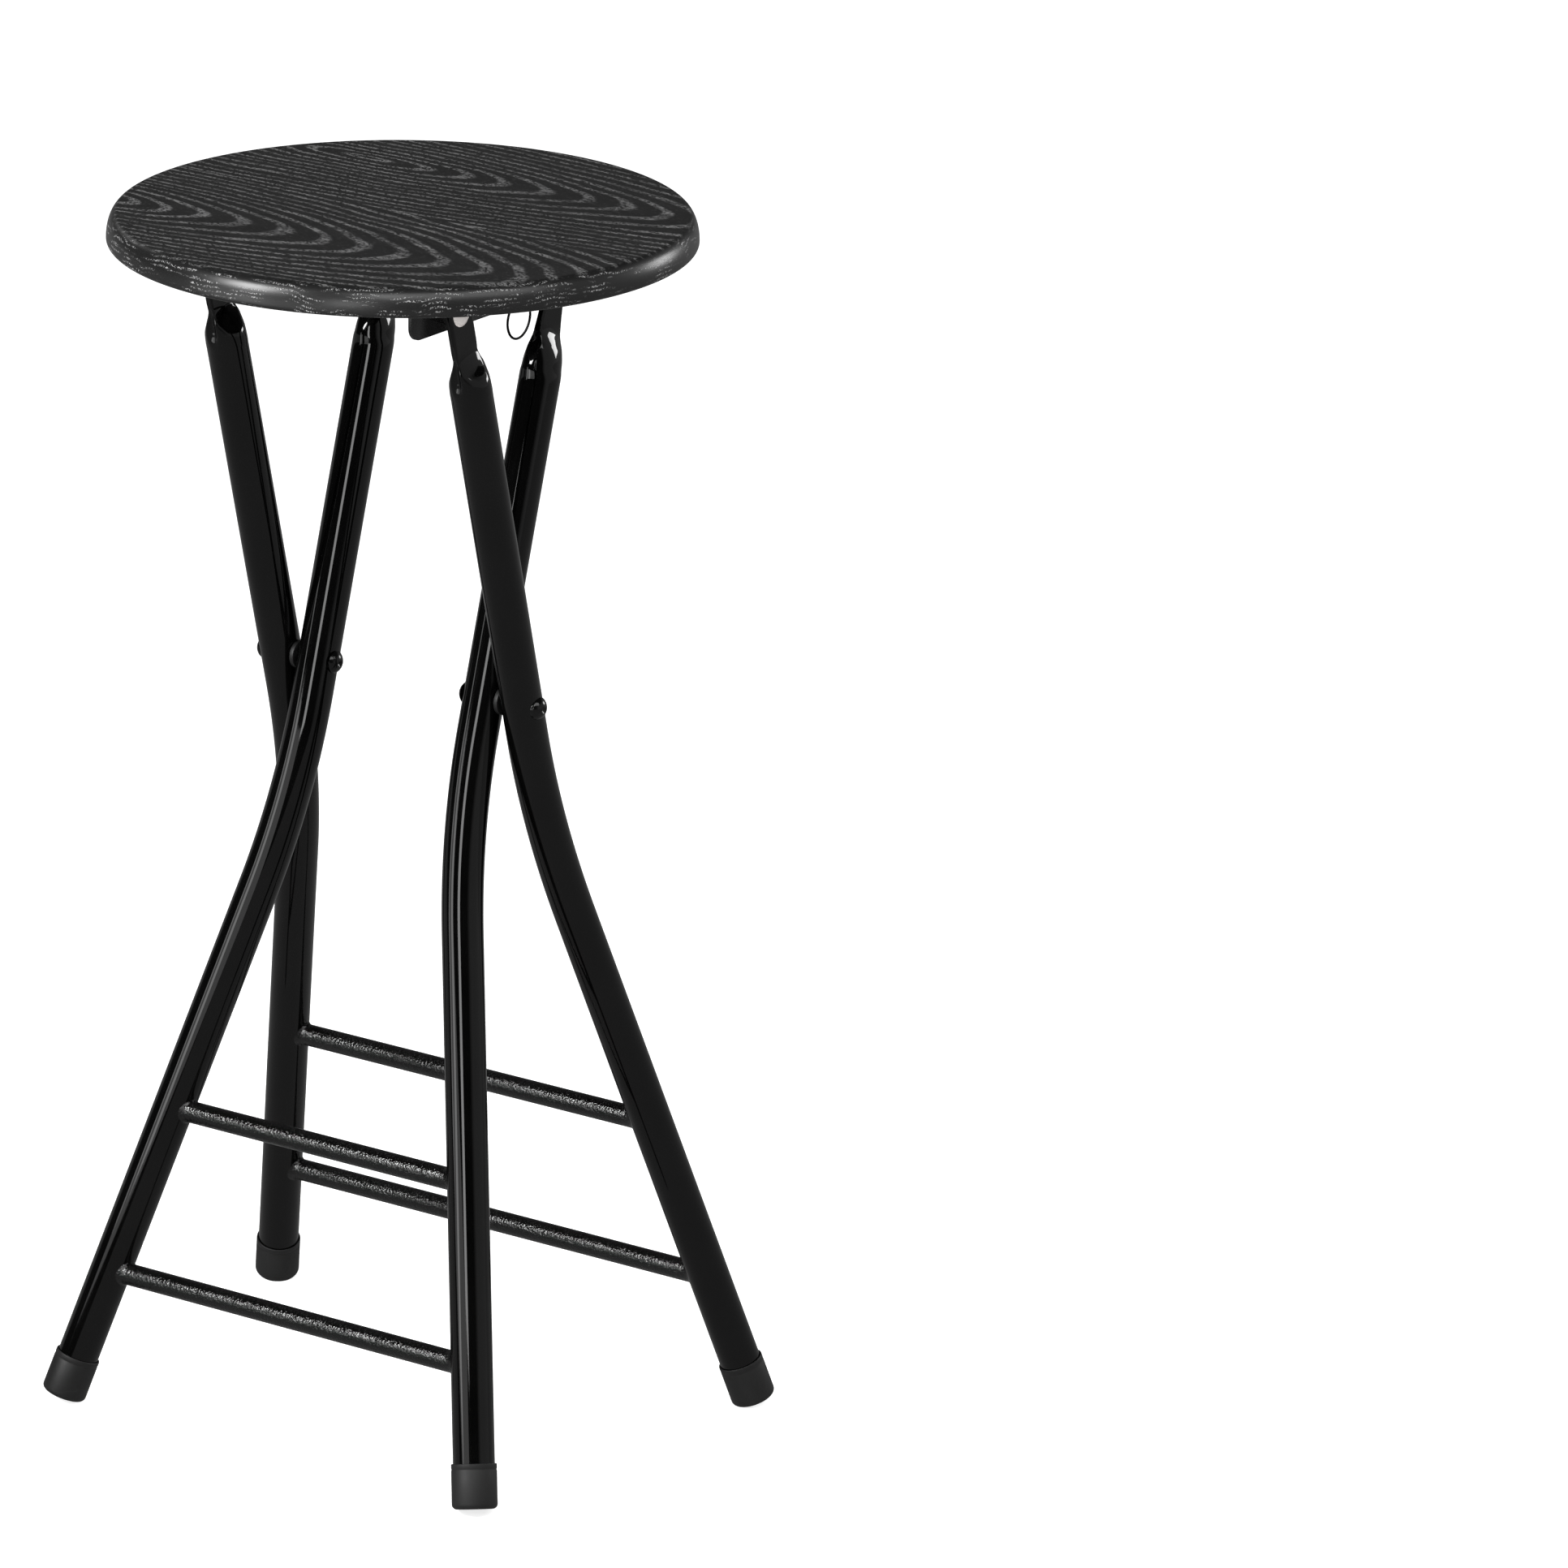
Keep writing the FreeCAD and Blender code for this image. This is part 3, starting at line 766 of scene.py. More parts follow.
class Finishes:
    """Every finish of the stool, by slot."""

    COATS = {
        Slot.TUBE: Coat("gloss_black_tube", grey(0.0005), grey(0.0012), (0.035, 0.06),
                        ripple=0.018, fine=260.0, broad=60.0, swell=1.5),
        Slot.BAR: Coat("peel_black_bar", grey(0.001), grey(0.002), (0.10, 0.16),
                       ripple=1.0, fine=880.0, broad=260.0, swell=0.3, depth=0.0004, specular=0.8),
        Slot.CAP: Coat("matt_black_cap", grey(0.008), grey(0.012), (0.46, 0.58),
                       ripple=0.2, fine=1400.0, broad=300.0, rub=0.35, rub_color=grey(0.04)),
        Slot.BRACKET: Coat("satin_black_plate", grey(0.010), grey(0.014), (0.2, 0.3),
                           ripple=0.2, fine=700.0),
        Slot.SEAT_RIVET: Coat("pale_zinc", (0.86, 0.81, 0.78, 1.0), (0.78, 0.74, 0.71, 1.0),
                              (0.34, 0.46), ripple=0.15, fine=900.0, metallic=0.1, rub=0.4,
                              rub_color=(0.6, 0.58, 0.56, 1.0)),
        Slot.MID_RIVET: Coat("gloss_black_rivet", grey(0.001), grey(0.002), (0.08, 0.16),
                             ripple=0.08),
        Slot.SPACER: Coat("black_nylon", grey(0.006), grey(0.009), (0.4, 0.55),
                          ripple=0.2, fine=900.0, rub=0.3),
        Slot.ROD: Coat("satin_black_rod", grey(0.003), grey(0.005), (0.2, 0.3),
                       ripple=0.3, fine=600.0),
        Slot.SCREW: Coat("black_zinc_screw", grey(0.05), grey(0.08), (0.3, 0.45),
                         ripple=0.2, fine=900.0, metallic=0.9, rub=0.6, rub_color=grey(0.25)),
        Slot.RING: Coat("black_wire", grey(0.001), grey(0.002), (0.15, 0.25), fine=900.0)}

    def __init__(self) -> None:
        """Build each material once."""
        effects = Effects()
        self.by_slot = {slot: coat.build(effects) for slot, coat in self.COATS.items()}
        self.by_slot[Slot.SEAT] = GrainFilm().build(effects)

    def dress(self, piece: bpy.types.Object, slot: Slot, body: Body, *nodes: str) -> None:
        """Give a piece its finish, its body and the CAD nodes that it stands for.

        Args:
            piece: the piece's object.
            slot: its finish.
            body: the body it rides on.
            nodes: names of the CAD nodes.
        """
        piece.data.materials.append(self.by_slot[slot])
        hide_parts(*nodes)
        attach(piece, body.value)
        LOG.info("%s: %d faces, %s finish, rides on %s", piece.name, len(piece.data.polygons),
                 slot.value, body.value)


@dataclass(frozen=True)
class Neck:
    """How the top of a leg is pressed flat. Places are distances above the start of the press.

    Attributes:
        thickness: rows of place and half thickness.
        width: rows of place and half width.
        opening: rows of place and half opening of the tuck on each narrow side.
        depth: rows of place and depth of the tuck.
        squared: rows of place and how flat-sided the section is, from 0 to 1.
        lean: how far the flat sits towards the front.
        eye: place of the eye's middle.
        lead: length of tube below the press that it already bends.
        crowd: how much the press draws the section's points to its narrow sides.
        mouth: how far the tuck reaches past its opening.
        reach: share of that mouth where the tuck deepens, while it is open and once it is shut.
    """

    thickness: tuple
    width: tuple
    opening: tuple
    depth: tuple
    squared: tuple
    lean: float
    eye: float
    lead: float = 14.0
    crowd: float = 0.6
    mouth: float = 0.85
    reach: tuple = (0.9, 0.72)


@dataclass(frozen=True)
class CrossedFrame:
    """One of the two crossing frames: two legs, two crossbars and two foot caps.

    Attributes:
        name: which frame it is.
        body: the body it rides on.
        tilt: degrees from upright.
        leg_x: leg axis at the pivot.
        foot_s: distance along the frame from the pivot to the sole.
        press_s: the same to the start of the press.
        neck: the pressed top.
        bars: names and distances of the crossbars.
        bend_start: distance from the pivot down to the bend.
        bend_radius: radius of the bend.
        bend_angle: turn of the bend, in radians.
        bend_rows: rows of faces along the bend.
        foot_rows: rows of faces from the bend to the foot.
        foot_gap: room between the end of the tube and the sole.
        leg_sides: faces round a leg.
        press_rows: distances from the start of the press, with the rows of faces up to each.
        eye_rows: rows of faces up to the eye's middle and from there over its round end.
        bar_radius: radius of a crossbar.
        bar_sides: faces round a crossbar.
        bar_rows: rows of faces along half a crossbar.
        weld_start: distance from the leg to where the weld's rows start.
        weld: the weld's rows, each with its width against the bar's and its gap to the leg.
        cap_radius: radius of a foot cap.
        cap_length: height of a foot cap.
        cap_wear: how much the floor has taken off its sole.
        cap_edge: radius of its lower edge.
        cap_fit: room between the cap and the tube.
        cap_wall: height where its straight side starts, and depth of its visible bore.
        cap_groove: the groove below its mouth, as rows of depth and distance from the mouth.
        cap_sides: faces round a foot cap.
    """

    name: str
    body: Body
    tilt: float
    leg_x: float
    foot_s: float
    press_s: float
    neck: Neck
    bars: tuple
    bend_start: float = 16.7
    bend_radius: float = 425.0
    bend_angle: float = math.radians(13.5)
    bend_rows: int = 30
    foot_rows: int = 8
    foot_gap: float = 4.0
    leg_sides: int = 72
    press_rows: tuple = ((-14.0, 10), (-2.0, 6), (34.0, 60))
    eye_rows: tuple = (4, 9)
    bar_radius: float = 5.5
    bar_sides: int = 48
    bar_rows: int = 14
    weld_start: float = 4.0
    weld: tuple = ((1.0, 1.6), (1.05, 0.9), (1.17, 0.25), (1.22, -0.5))
    cap_radius: float = 11.2
    cap_length: float = 21.0
    cap_wear: float = 1.1
    cap_edge: float = 2.5
    cap_fit: float = 0.03
    cap_wall: float = 6.0
    cap_groove: tuple = ((0.0, 3.4), (0.18, 3.0), (0.18, 2.6), (0.0, 2.2))
    cap_sides: int = 96

    @property
    def place(self) -> Matrix:
        """Return the move from the upright frame to its place."""
        turn = Matrix.Rotation(math.radians(self.tilt), 4, "X")
        return Matrix.Translation((0, 0, PIVOT_HEIGHT)) @ turn

    def axis_x(self, s: float) -> float:
        """Return where a leg's axis lies across the frame, at s along it.

        Args:
            s: distance along the frame, above the pivot.

        Returns:
            The axis's X.
        """
        depth = -s - self.bend_start
        arc = self.bend_radius * math.sin(self.bend_angle)
        if depth <= 0:
            return self.leg_x
        if depth <= arc:
            return self.leg_x + self.bend_radius - math.sqrt(self.bend_radius ** 2 - depth ** 2)
        rise = self.bend_radius * (1 - math.cos(self.bend_angle))
        return self.leg_x + rise + (depth - arc) * math.tan(self.bend_angle)

    def axis_slope(self, s: float) -> float:
        """Return how far a leg's axis leans from the frame's length, in radians."""
        share = (-s - self.bend_start) / self.bend_radius
        return min(self.bend_angle, math.asin(max(0.0, min(share, 0.9))))

    def pressed(self, spot: Vector) -> Vector:
        """Move one point of the round tube to where the press leaves it.

        The outline is crowned on the slope and flat-sided on the plate, with a round edge
        on each narrow side, which the tuck folds inwards.

        Args:
            spot: a point of the round tube about its own axis.

        Returns:
            The point after pressing.
        """
        neck = self.neck
        rise = spot.z - self.press_s
        crowd = 1.0 + neck.crowd * smoothstep(-neck.lead, 0.0, rise)
        half = eased(neck.thickness, rise)
        wide = eased(neck.width, rise)
        lip = eased(neck.opening, rise)
        depth = eased(neck.depth, rise)
        share = 1.0 - (1.0 - math.atan2(abs(spot.y), abs(spot.x)) / QUARTER) ** crowd
        straight = wide - half
        along = share * (straight + QUARTER * half)
        if along <= straight:
            x, y = half, along
        else:
            turn = (along - straight) / half
            x, y = half * math.cos(turn), straight + half * math.sin(turn)
        squared = eased(neck.squared, rise)
        x += (half * math.cos(QUARTER * share) - x) * (1.0 - squared)
        y += (wide * math.sin(QUARTER * share) - y) * (1.0 - squared)
        mouth = lip + neck.mouth
        if x < mouth:
            reach = neck.reach[0] if lip > 1.0 else neck.reach[1]
            y -= depth * smoothstep(0.0, reach, 1.0 - x / mouth)
        over = rise - neck.eye
        if over > 0:
            # The last row stays a little open, for one face to close it
            y *= math.sqrt(max(0.02, 1.0 - (over / wide) ** 2))
        y = math.copysign(y, spot.y)
        y -= neck.lean * (TUBE_RADIUS - half) / (TUBE_RADIUS - FLAT_HALF)
        return Vector((math.copysign(x, spot.x), y, spot.z))

    def leg(self, hand: Hand) -> Shape:
        """Shape one leg: a tube that is pressed at the top, bent below the pivot and tilted.

        Args:
            hand: which side it is on.

        Returns:
            The leg.
        """
        shape = Shape()
        start = level = -self.bend_start
        first = rim = shape.ring(TUBE_RADIUS, self.leg_sides, Matrix.Translation((0, 0, start)))
        for rise, rows in (*self.press_rows, (self.neck.eye, self.eye_rows[0])):
            stop = self.press_s + rise
            for _ in range(rows):
                rim = shape.pull(rim, (0, 0, (stop - level) / rows))
            level = stop
        wide, rows = self.neck.width[-1][1], self.eye_rows[1]
        heights = [wide * math.sin(QUARTER * i / rows) for i in range(rows + 1)]
        for low, high in zip(heights, heights[1:]):
            rim = shape.pull(rim, (0, 0, high - low))
        for vert in shape.bm.verts:
            if vert.co.z > self.press_s - self.neck.lead - 0.5:
                vert.co = self.pressed(vert.co)
        shape.close(rim)
        sine, cosine = math.sin(self.bend_angle), math.cos(self.bend_angle)
        rim = shape.swing(first, (self.bend_radius, 0, start), (0, -1, 0), self.bend_angle,
                          self.bend_rows)
        length = (start - self.bend_radius * sine - self.foot_s) / cosine
        step = (length - self.foot_gap) / self.foot_rows
        for _ in range(self.foot_rows):
            rim = shape.pull(rim, (step * sine, 0, -step * cosine))
        shape.close(rim)
        shape.settle()
        return shape.place(self.place @ Matrix.Translation((self.leg_x, 0, 0)), hand)

    def cap(self, hand: Hand) -> Shape:
        """Shape one foot cap: a moulded cup with a rolled rim, worn flat on the floor.

        Args:
            hand: which side it is on.

        Returns:
            The cap.
        """
        shape = Shape()
        top = self.cap_length + self.cap_wear
        mouth = TUBE_RADIUS + self.cap_fit
        radius, edge = self.cap_radius, self.cap_edge
        lip = (radius - mouth) / 2
        pen = Pen(shape, 0, 0).to(radius - edge, 0).arc(radius - edge, edge, 90, 8)
        pen.to(radius, self.cap_wall)
        for depth, drop in self.cap_groove:
            pen.to(radius - depth, top - drop)
        pen.to(radius, top - lip).arc(radius - lip, top - lip, 180, 8)
        pen.to(mouth, top - self.cap_wall)
        shape.turn(self.cap_sides)
        down = Vector((math.sin(self.bend_angle), 0, -math.cos(self.bend_angle)))
        base = Vector((self.axis_x(self.foot_s), 0, self.foot_s)) + down * self.cap_wear
        lean = Matrix.Translation(base) @ Matrix.Rotation(-self.bend_angle, 4, "Y")
        shape.place(self.place @ lean, hand)
        shape.cut_floor()
        return shape

    def crossbar(self, s: float) -> Shape:
        """Shape one crossbar with ends that sit on the legs and a small weld round each.

        Args:
            s: distance along the frame, above the pivot.

        Returns:
            The crossbar.
        """
        shape = Shape()
        slope, axis = self.axis_slope(s), self.axis_x(s)
        rim = shape.ring(self.bar_radius, self.bar_sides, Matrix.Rotation(QUARTER, 4, "Y"))
        span = axis - TUBE_RADIUS - self.weld_start
        for _ in range(self.bar_rows):
            rim = shape.pull(rim, (span / self.bar_rows, 0, 0))
        for swell, gap in self.weld:
            rim = shape.pull(rim, (0, 0, 0))
            for vert in shape.verts_of(rim):
                scale = swell * self.bar_radius / math.hypot(vert.co.y, vert.co.z)
                y, z = vert.co.y * scale, vert.co.z * scale
                wall = math.sqrt(TUBE_RADIUS ** 2 - y ** 2) / math.cos(slope)
                vert.co = Vector((axis - z * math.tan(slope) - wall - gap, y, z))
        bmesh.ops.mirror(shape.bm, geom=shape.bm.verts[:] + shape.bm.edges[:] + shape.bm.faces[:],
                         matrix=Matrix.Identity(4), merge_dist=0.001, axis="X")
        shape.settle()
        return shape.place(self.place @ Matrix.Translation((0, 0, s)))

    def build(self, finishes: Finishes) -> None:
        """Build and dress every piece of the frame.

        Args:
            finishes: the finishes to dress the pieces in.
        """
        for hand in Hand:
            side = f"{self.name}_{hand.word}"
            leg = self.leg(hand).finish(side + "_tube_leg", sharp=50.0)
            finishes.dress(leg, Slot.TUBE, self.body, side + "_leg")
            cap = self.cap(hand).finish(side + "_foot_tip", sharp=50.0)
            finishes.dress(cap, Slot.CAP, self.body, side + "_foot_cap")
        for level, s in self.bars:
            bar = self.crossbar(s).finish(f"{self.name}_{level}_footrest_bar", sharp=50.0)
            finishes.dress(bar, Slot.BAR, self.body, f"{self.name}_{level}_crossbar")


OUTER_FRAME = CrossedFrame(
    name="outer", body=Body.OUTER, tilt=14.6, leg_x=OUTER_LEG_X, foot_s=-383.6, press_s=172.0,
    neck=Neck(thickness=((1.0, 10.25), (5.0, 9.8), (8.0, 9.1), (11.0, 7.5), (14.0, 5.5),
                         (18.0, 3.4), (22.0, 2.1), (27.0, FLAT_HALF)),
              width=((-1.0, 10.25), (5.0, 10.6), (11.0, 10.9), (14.0, 11.0), (18.0, 10.3),
                     (22.0, 9.4), (27.0, 9.1)),
              opening=((3.0, 2.4), (8.0, 2.9), (16.0, 2.2), (24.0, 0.9), (30.0, 0.12)),
              depth=((0.5, 0.0), (3.5, 0.3), (8.0, 1.9), (12.0, 3.0), (17.0, 2.6), (24.0, 0.8),
                     (30.0, 0.5)),
              squared=((0.0, 1.0), (5.0, 0.25), (16.0, 0.25), (27.0, 1.0)),
              lean=0.0, eye=44.0),
    bars=(("upper", -230.4), ("lower", -316.3)))
INNER_FRAME = CrossedFrame(
    name="inner", body=Body.INNER, tilt=-16.1, leg_x=INNER_LEG_X, foot_s=-386.3, press_s=161.5,
    neck=Neck(thickness=((-4.5, 10.25), (-0.5, 9.3), (4.5, 8.6), (7.5, 7.8), (10.5, 6.7),
                         (14.5, 4.8), (18.5, 3.0), (24.0, FLAT_HALF)),
              width=((-4.5, 10.25), (-0.5, 11.0), (4.5, 11.1), (10.5, 11.1), (15.0, 10.4),
                     (22.0, 9.4), (31.0, 8.3)),
              opening=((4.0, 2.4), (10.0, 2.9), (15.0, 2.2), (20.0, 0.9), (26.0, 0.12)),
              depth=((1.5, 0.0), (5.0, 0.3), (9.0, 1.4), (13.0, 3.3), (20.0, 4.4), (26.0, 4.6)),
              squared=((-4.0, 1.0), (2.0, 0.2), (13.0, 0.2), (24.0, 1.0)),
              lean=0.73, eye=46.5),
    bars=(("upper", -233.8), ("lower", -320.4)))


@dataclass(frozen=True)
class PivotSet:
    """The rivets and spacers at the two crossing points and at the seat.

    Attributes:
        mid_head: radius and height of a crossing rivet's heads.
        mid_skirt: how far its outer head runs on towards the tube.
        mid_hollow: radius of the hollow in each of its crowns.
        mid_spacer_radius: radius of the spacer between the crossing tubes.
        seat_head: radius and height of a seat rivet's outer head.
        tail: radius and height of its formed inner end.
        seat_spacer_radius: radius of the spacer at the seat.
        shank: radius of the shanks.
        face_gap: room between the inner legs and what turns beside them.
        head_edge: chamfer on the foot of a head.
        hollow_rows: the hollow, as rows of radius against its own and of depth.
        sides: faces round a piece.
    """

    mid_head: tuple = (5.6, 3.1)
    mid_skirt: float = 2.0
    mid_hollow: float = 1.75
    mid_spacer_radius: float = 7.0
    seat_head: tuple = (6.5, 2.6)
    tail: tuple = (4.6, 1.6)
    seat_spacer_radius: float = 6.5
    shank: float = 3.0
    face_gap: float = 0.3
    head_edge: float = 0.12
    hollow_rows: tuple = ((0.93, 0.06), (0.42, 0.95), (0.0, 1.05))
    sides: int = 64

    def head(self, size: tuple, skirt: float, hollow: float) -> Shape:
        """Shape one rivet head on its foot at z = 0, open towards the shank.

        Args:
            size: radius and height.
            skirt: how far its side runs on below the foot.
            hollow: radius of the crown's hollow, or 0.

        Returns:
            The head.
        """
        shape = Shape()
        (radius, height), edge = size, self.head_edge
        pen = Pen(shape, self.shank, -skirt).to(radius - edge, -skirt)
        pen.to(radius, -skirt + edge).to(radius, 0)
        ball = (radius ** 2 + height ** 2) / (2 * height)
        full = math.degrees(math.asin(radius / ball)) if ball >= height else 90.0
        inner = math.degrees(math.asin(max(hollow, 0.05) / ball))
        pen.arc(0, height - ball, full - inner, 10)
        top = pen.last.co.z
        rows = self.hollow_rows if hollow else ((0.0, 0.0),)
        for share, depth in rows:
            pen.to(hollow * share, top - depth)
        shape.turn(self.sides)
        return shape

    def two_headed(self, ends: tuple, sizes: tuple, skirts: tuple, hollow: float = 0.0) -> Shape:
        """Shape a rivet whose shank runs along Z.

        Args:
            ends: places of the lower and upper head's foot.
            sizes: radius and height of each head.
            skirts: how far each head's side runs on towards the other.
            hollow: radius of the crowns' hollows, or 0.

        Returns:
            The rivet.
        """
        shape = Shape()
        for place, size, skirt, up in zip(ends, sizes, skirts, (-1, 1)):
            part = self.head(size, skirt, hollow).bm
            bmesh.ops.scale(part, vec=(1, 1, up), verts=part.verts[:])
            bmesh.ops.translate(part, vec=(0, 0, place), verts=part.verts[:])
            mesh = bpy.data.meshes.new("part")
            part.to_mesh(mesh)
            part.free()
            shape.bm.from_mesh(mesh)
            bpy.data.meshes.remove(mesh)
        rims = [edge for edge in shape.bm.edges if edge.is_boundary]
        bmesh.ops.bridge_loops(shape.bm, edges=rims)
        shape.settle()
        return shape

    def spacer(self, radius: float, thickness: float) -> Shape:
        """Shape a washer with softened edges, from z = 0 up.

        Args:
            radius: outer radius.
            thickness: its thickness.

        Returns:
            The washer.
        """
        shape = Shape()
        bore = self.shank + 0.05
        Pen(shape, bore, 0).to(radius, 0).to(radius, thickness).to(bore, thickness).shut()
        shape.turn(self.sides)
        shape.soften(0.25)
        return shape

    def build(self, finishes: Finishes) -> None:
        """Build and dress the rivets and spacers of both sides.

        Args:
            finishes: the finishes to dress the pieces in.
        """
        mid_ends = (INNER_LEG_X - TUBE_RADIUS - self.face_gap, OUTER_LEG_X + TUBE_RADIUS)
        mid_gap = (INNER_LEG_X + TUBE_RADIUS + self.face_gap, OUTER_LEG_X - TUBE_RADIUS)
        seat_ends = (BRACKET_FACE_X - BRACKET_PLATE, OUTER_LEG_X + FLAT_HALF)
        seat_gap = (BRACKET_FACE_X, OUTER_LEG_X - FLAT_HALF)
        mid = OUTER_FRAME.place @ facing_x(0, 0, 0)
        seat = facing_x(0, SEAT_PIVOT.y, SEAT_PIVOT.z)
        for hand in Hand:
            crossing_rivet = self.two_headed(mid_ends, (self.mid_head, self.mid_head),
                                             (0.0, self.mid_skirt), self.mid_hollow)
            seat_rivet = self.two_headed(seat_ends, (self.tail, self.seat_head), (0.0, 0.0))
            joints = (("crossing", "mid", Body.OUTER, Slot.MID_RIVET, crossing_rivet, mid,
                       mid_gap, self.mid_spacer_radius),
                      ("seat", "seat", Body.SEAT, Slot.SEAT_RIVET, seat_rivet, seat,
                       seat_gap, self.seat_spacer_radius))
            for name, node, body, slot, rivet, place, (low, high), radius in joints:
                side, node = f"{hand.word}_{name}", f"{hand.word}_{node}_pivot"
                piece = rivet.place(place, hand).finish(side + "_rivet")
                finishes.dress(piece, slot, body, node + "_rivet")
                washer = self.spacer(radius, high - low)
                washer.place(place @ Matrix.Translation((0, 0, low)), hand)
                finishes.dress(washer.finish(side + "_spacer"), Slot.SPACER, body, node + "_spacer")


@dataclass(frozen=True)
class SeatUnit:
    """The board, its brackets, screws, support rod and hanging ring.

    Attributes:
        radius: radius of the board.
        shoulder: width and height of its round shoulder.
        lower_edge: radius of its lower edge.
        board_sides: faces round the board.
        front_y: front end of the bracket's upright.
        rear_y: rear end of the upright.
        drop: how far the upright reaches below the board.
        corner: radius of the upright's corners.
        bend: radius of the fold to the flange.
        flange_width: reach of the flange.
        flange_ys: front and rear ends of the flange.
        flange_corner: radius of the flange's corners.
        notch: half width of the notch over the support rod.
        notch_leads: how far the notch opens at its mouth, in front and behind.
        ring_hole: Y, Z and radius of the hole for the ring.
        screw_x: distance of the screws from the middle.
        screw_ys: the screws' places along a bracket.
        screw_head: height of a screw's head.
        screw_rows: the screw from its face inwards, as rows of radius and depth.
        screw_face: radius of its flat face, and faces round it.
        recess: half width and half length of an arm of its cross.
        recess_depth: depth of the cross.
        recess_taper: size of the cross's floor against its mouth.
        rod_radius: radius of the support rod.
        rod_half: half its length.
        ring_radius: radius of the ring's middle line.
        ring_wire: radius of its wire.
        ring_turn: how far it is turned about the vertical, in radians.
        ring_swing: how far it has swung, in radians.
        ring_held: the point of the ring's middle line in the hole.
    """

    radius: float = 143.2
    shoulder: tuple = (5.6, 12.4)
    lower_edge: float = 1.6
    board_sides: int = 288
    front_y: float = -82.14
    rear_y: float = 73.97
    drop: float = 22.3
    corner: float = 7.0
    bend: float = 3.0
    flange_width: float = 20.0
    flange_ys: tuple = (-70.14, 69.97)
    flange_corner: float = 5.0
    notch: float = 4.3
    notch_leads: tuple = (1.6, 0.6)
    ring_hole: tuple = (8.9, 576.2, 1.7)
    screw_x: float = 56.0
    screw_ys: tuple = (-58.14, 29.97, 59.97)
    screw_head: float = 2.2
    screw_rows: tuple = ((3.1, 0.2), (3.5, 0.6), (3.7, 1.2), (3.7, 2.2), (1.7, 2.2), (1.7, 3.2))
    screw_face: tuple = (2.5, 36)
    recess: tuple = (0.4, 1.8)
    recess_depth: float = 1.2
    recess_taper: float = 0.6
    rod_radius: float = 4.0
    rod_half: float = 69.5
    ring_radius: float = 9.8
    ring_wire: float = 0.62
    ring_turn: float = math.radians(24.0)
    ring_swing: float = math.radians(20.0)
    ring_held: tuple = (65.5, 8.9, 575.7)

    def board(self) -> Shape:
        """Shape the round board with its tall soft shoulder.

        Returns:
            The board.
        """
        shape = Shape()
        edge, (wide, high) = self.lower_edge, self.shoulder
        pen = Pen(shape, 0, SEAT_BOTTOM)
        for x in (60, 120, self.radius - edge):
            pen.to(x, SEAT_BOTTOM)
        pen.arc(self.radius - edge, SEAT_BOTTOM + edge, 90, 6)
        low = SEAT_TOP - high
        before = set(shape.bm.verts)
        pen.to(self.radius, low).arc(self.radius - wide, low, 90, 20)
        shoulder = [vert for vert in shape.bm.verts if vert not in before]
        bmesh.ops.scale(shape.bm, vec=(1, 1, high / wide), verts=shoulder,
                        space=Matrix.Translation((0, 0, -low)))
        for x in (self.radius - wide - 2, 100, 50, 0):
            pen.to(x, SEAT_TOP)
        shape.turn(self.board_sides)
        return shape

    def upright(self, shape: Shape) -> None:
        """Draw the outline of a bracket's upright with its round corners and its notch.

        Args:
            shape: the bracket's shape, which is empty so far.
        """
        top, low = SEAT_BOTTOM, SEAT_BOTTOM - self.drop
        fold = top - self.bend
        notch, crown = self.notch, TOP_ROD.z + self.notch
        front, rear = TOP_ROD.y - notch, TOP_ROD.y + notch
        front_lead, rear_lead = self.notch_leads
        corners = {}
        pen = Pen(shape, self.front_y, low)
        corners[pen.last] = (self.corner, 8)
        pen.to(front - front_lead, low).to(front, low + front_lead)
        for y in (front, rear):
            pen.to(y, crown)
            corners[pen.last] = (notch - 0.02, 10)
        pen.to(rear, low + rear_lead).to(rear + rear_lead, low).to(self.rear_y, low)
        corners[pen.last] = (self.corner, 8)
        flange_front, flange_rear = self.flange_ys
        pen.to(self.rear_y, top).to(flange_rear, top).to(flange_rear, fold)
        pen.to(flange_front, fold).to(flange_front, top).to(self.front_y, top)
        corners[pen.last] = (self.corner, 8)
        pen.shut()
        for vert, (radius, steps) in corners.items():
            shape.round_corner(vert, radius, steps)

    def bracket(self, hand: Hand) -> Shape:
        """Shape one bracket: a bent sheet with round corners, a notch and a flange.

        Args:
            hand: which side it is on.

        Returns:
            The bracket.
        """
        shape = Shape()
        self.upright(shape)
        if hand is Hand.RIGHT:
            y, z, radius = self.ring_hole
            turned = Matrix.Translation((y, 0, z)) @ Matrix.Rotation(QUARTER, 4, "X")
            shape.ring(radius, 24, turned)
        bmesh.ops.triangle_fill(shape.bm, use_beauty=True, edges=shape.bm.edges[:],
                                normal=(0, -1, 0))
        fold, near = SEAT_BOTTOM - self.bend, 0.01
        front, rear = self.flange_ys
        top_edge = [edge for edge in shape.bm.edges
                    if all(abs(vert.co.z - fold) < near and front - near < vert.co.x < rear + near
                           for vert in edge.verts)]
        rim = shape.swing(top_edge, (0, self.bend, fold), (-1, 0, 0), QUARTER, 6)
        shape.pull(rim, (0, self.flange_width - self.bend, 0))
        shape.settle()
        tip = [edge for edge in shape.bm.edges if edge.is_boundary
               and abs(edge.verts[0].co.y - edge.verts[1].co.y) < near
               and edge.verts[0].co.y > self.flange_width - near]
        for vert in shape.verts_of(tip):
            shape.round_corner(vert, self.flange_corner, 6)
        bmesh.ops.recalc_face_normals(shape.bm, faces=shape.bm.faces[:])
        plate = max(shape.bm.faces, key=lambda face: face.calc_area())
        if plate.normal.y > 0:
            bmesh.ops.reverse_faces(shape.bm, faces=shape.bm.faces[:])
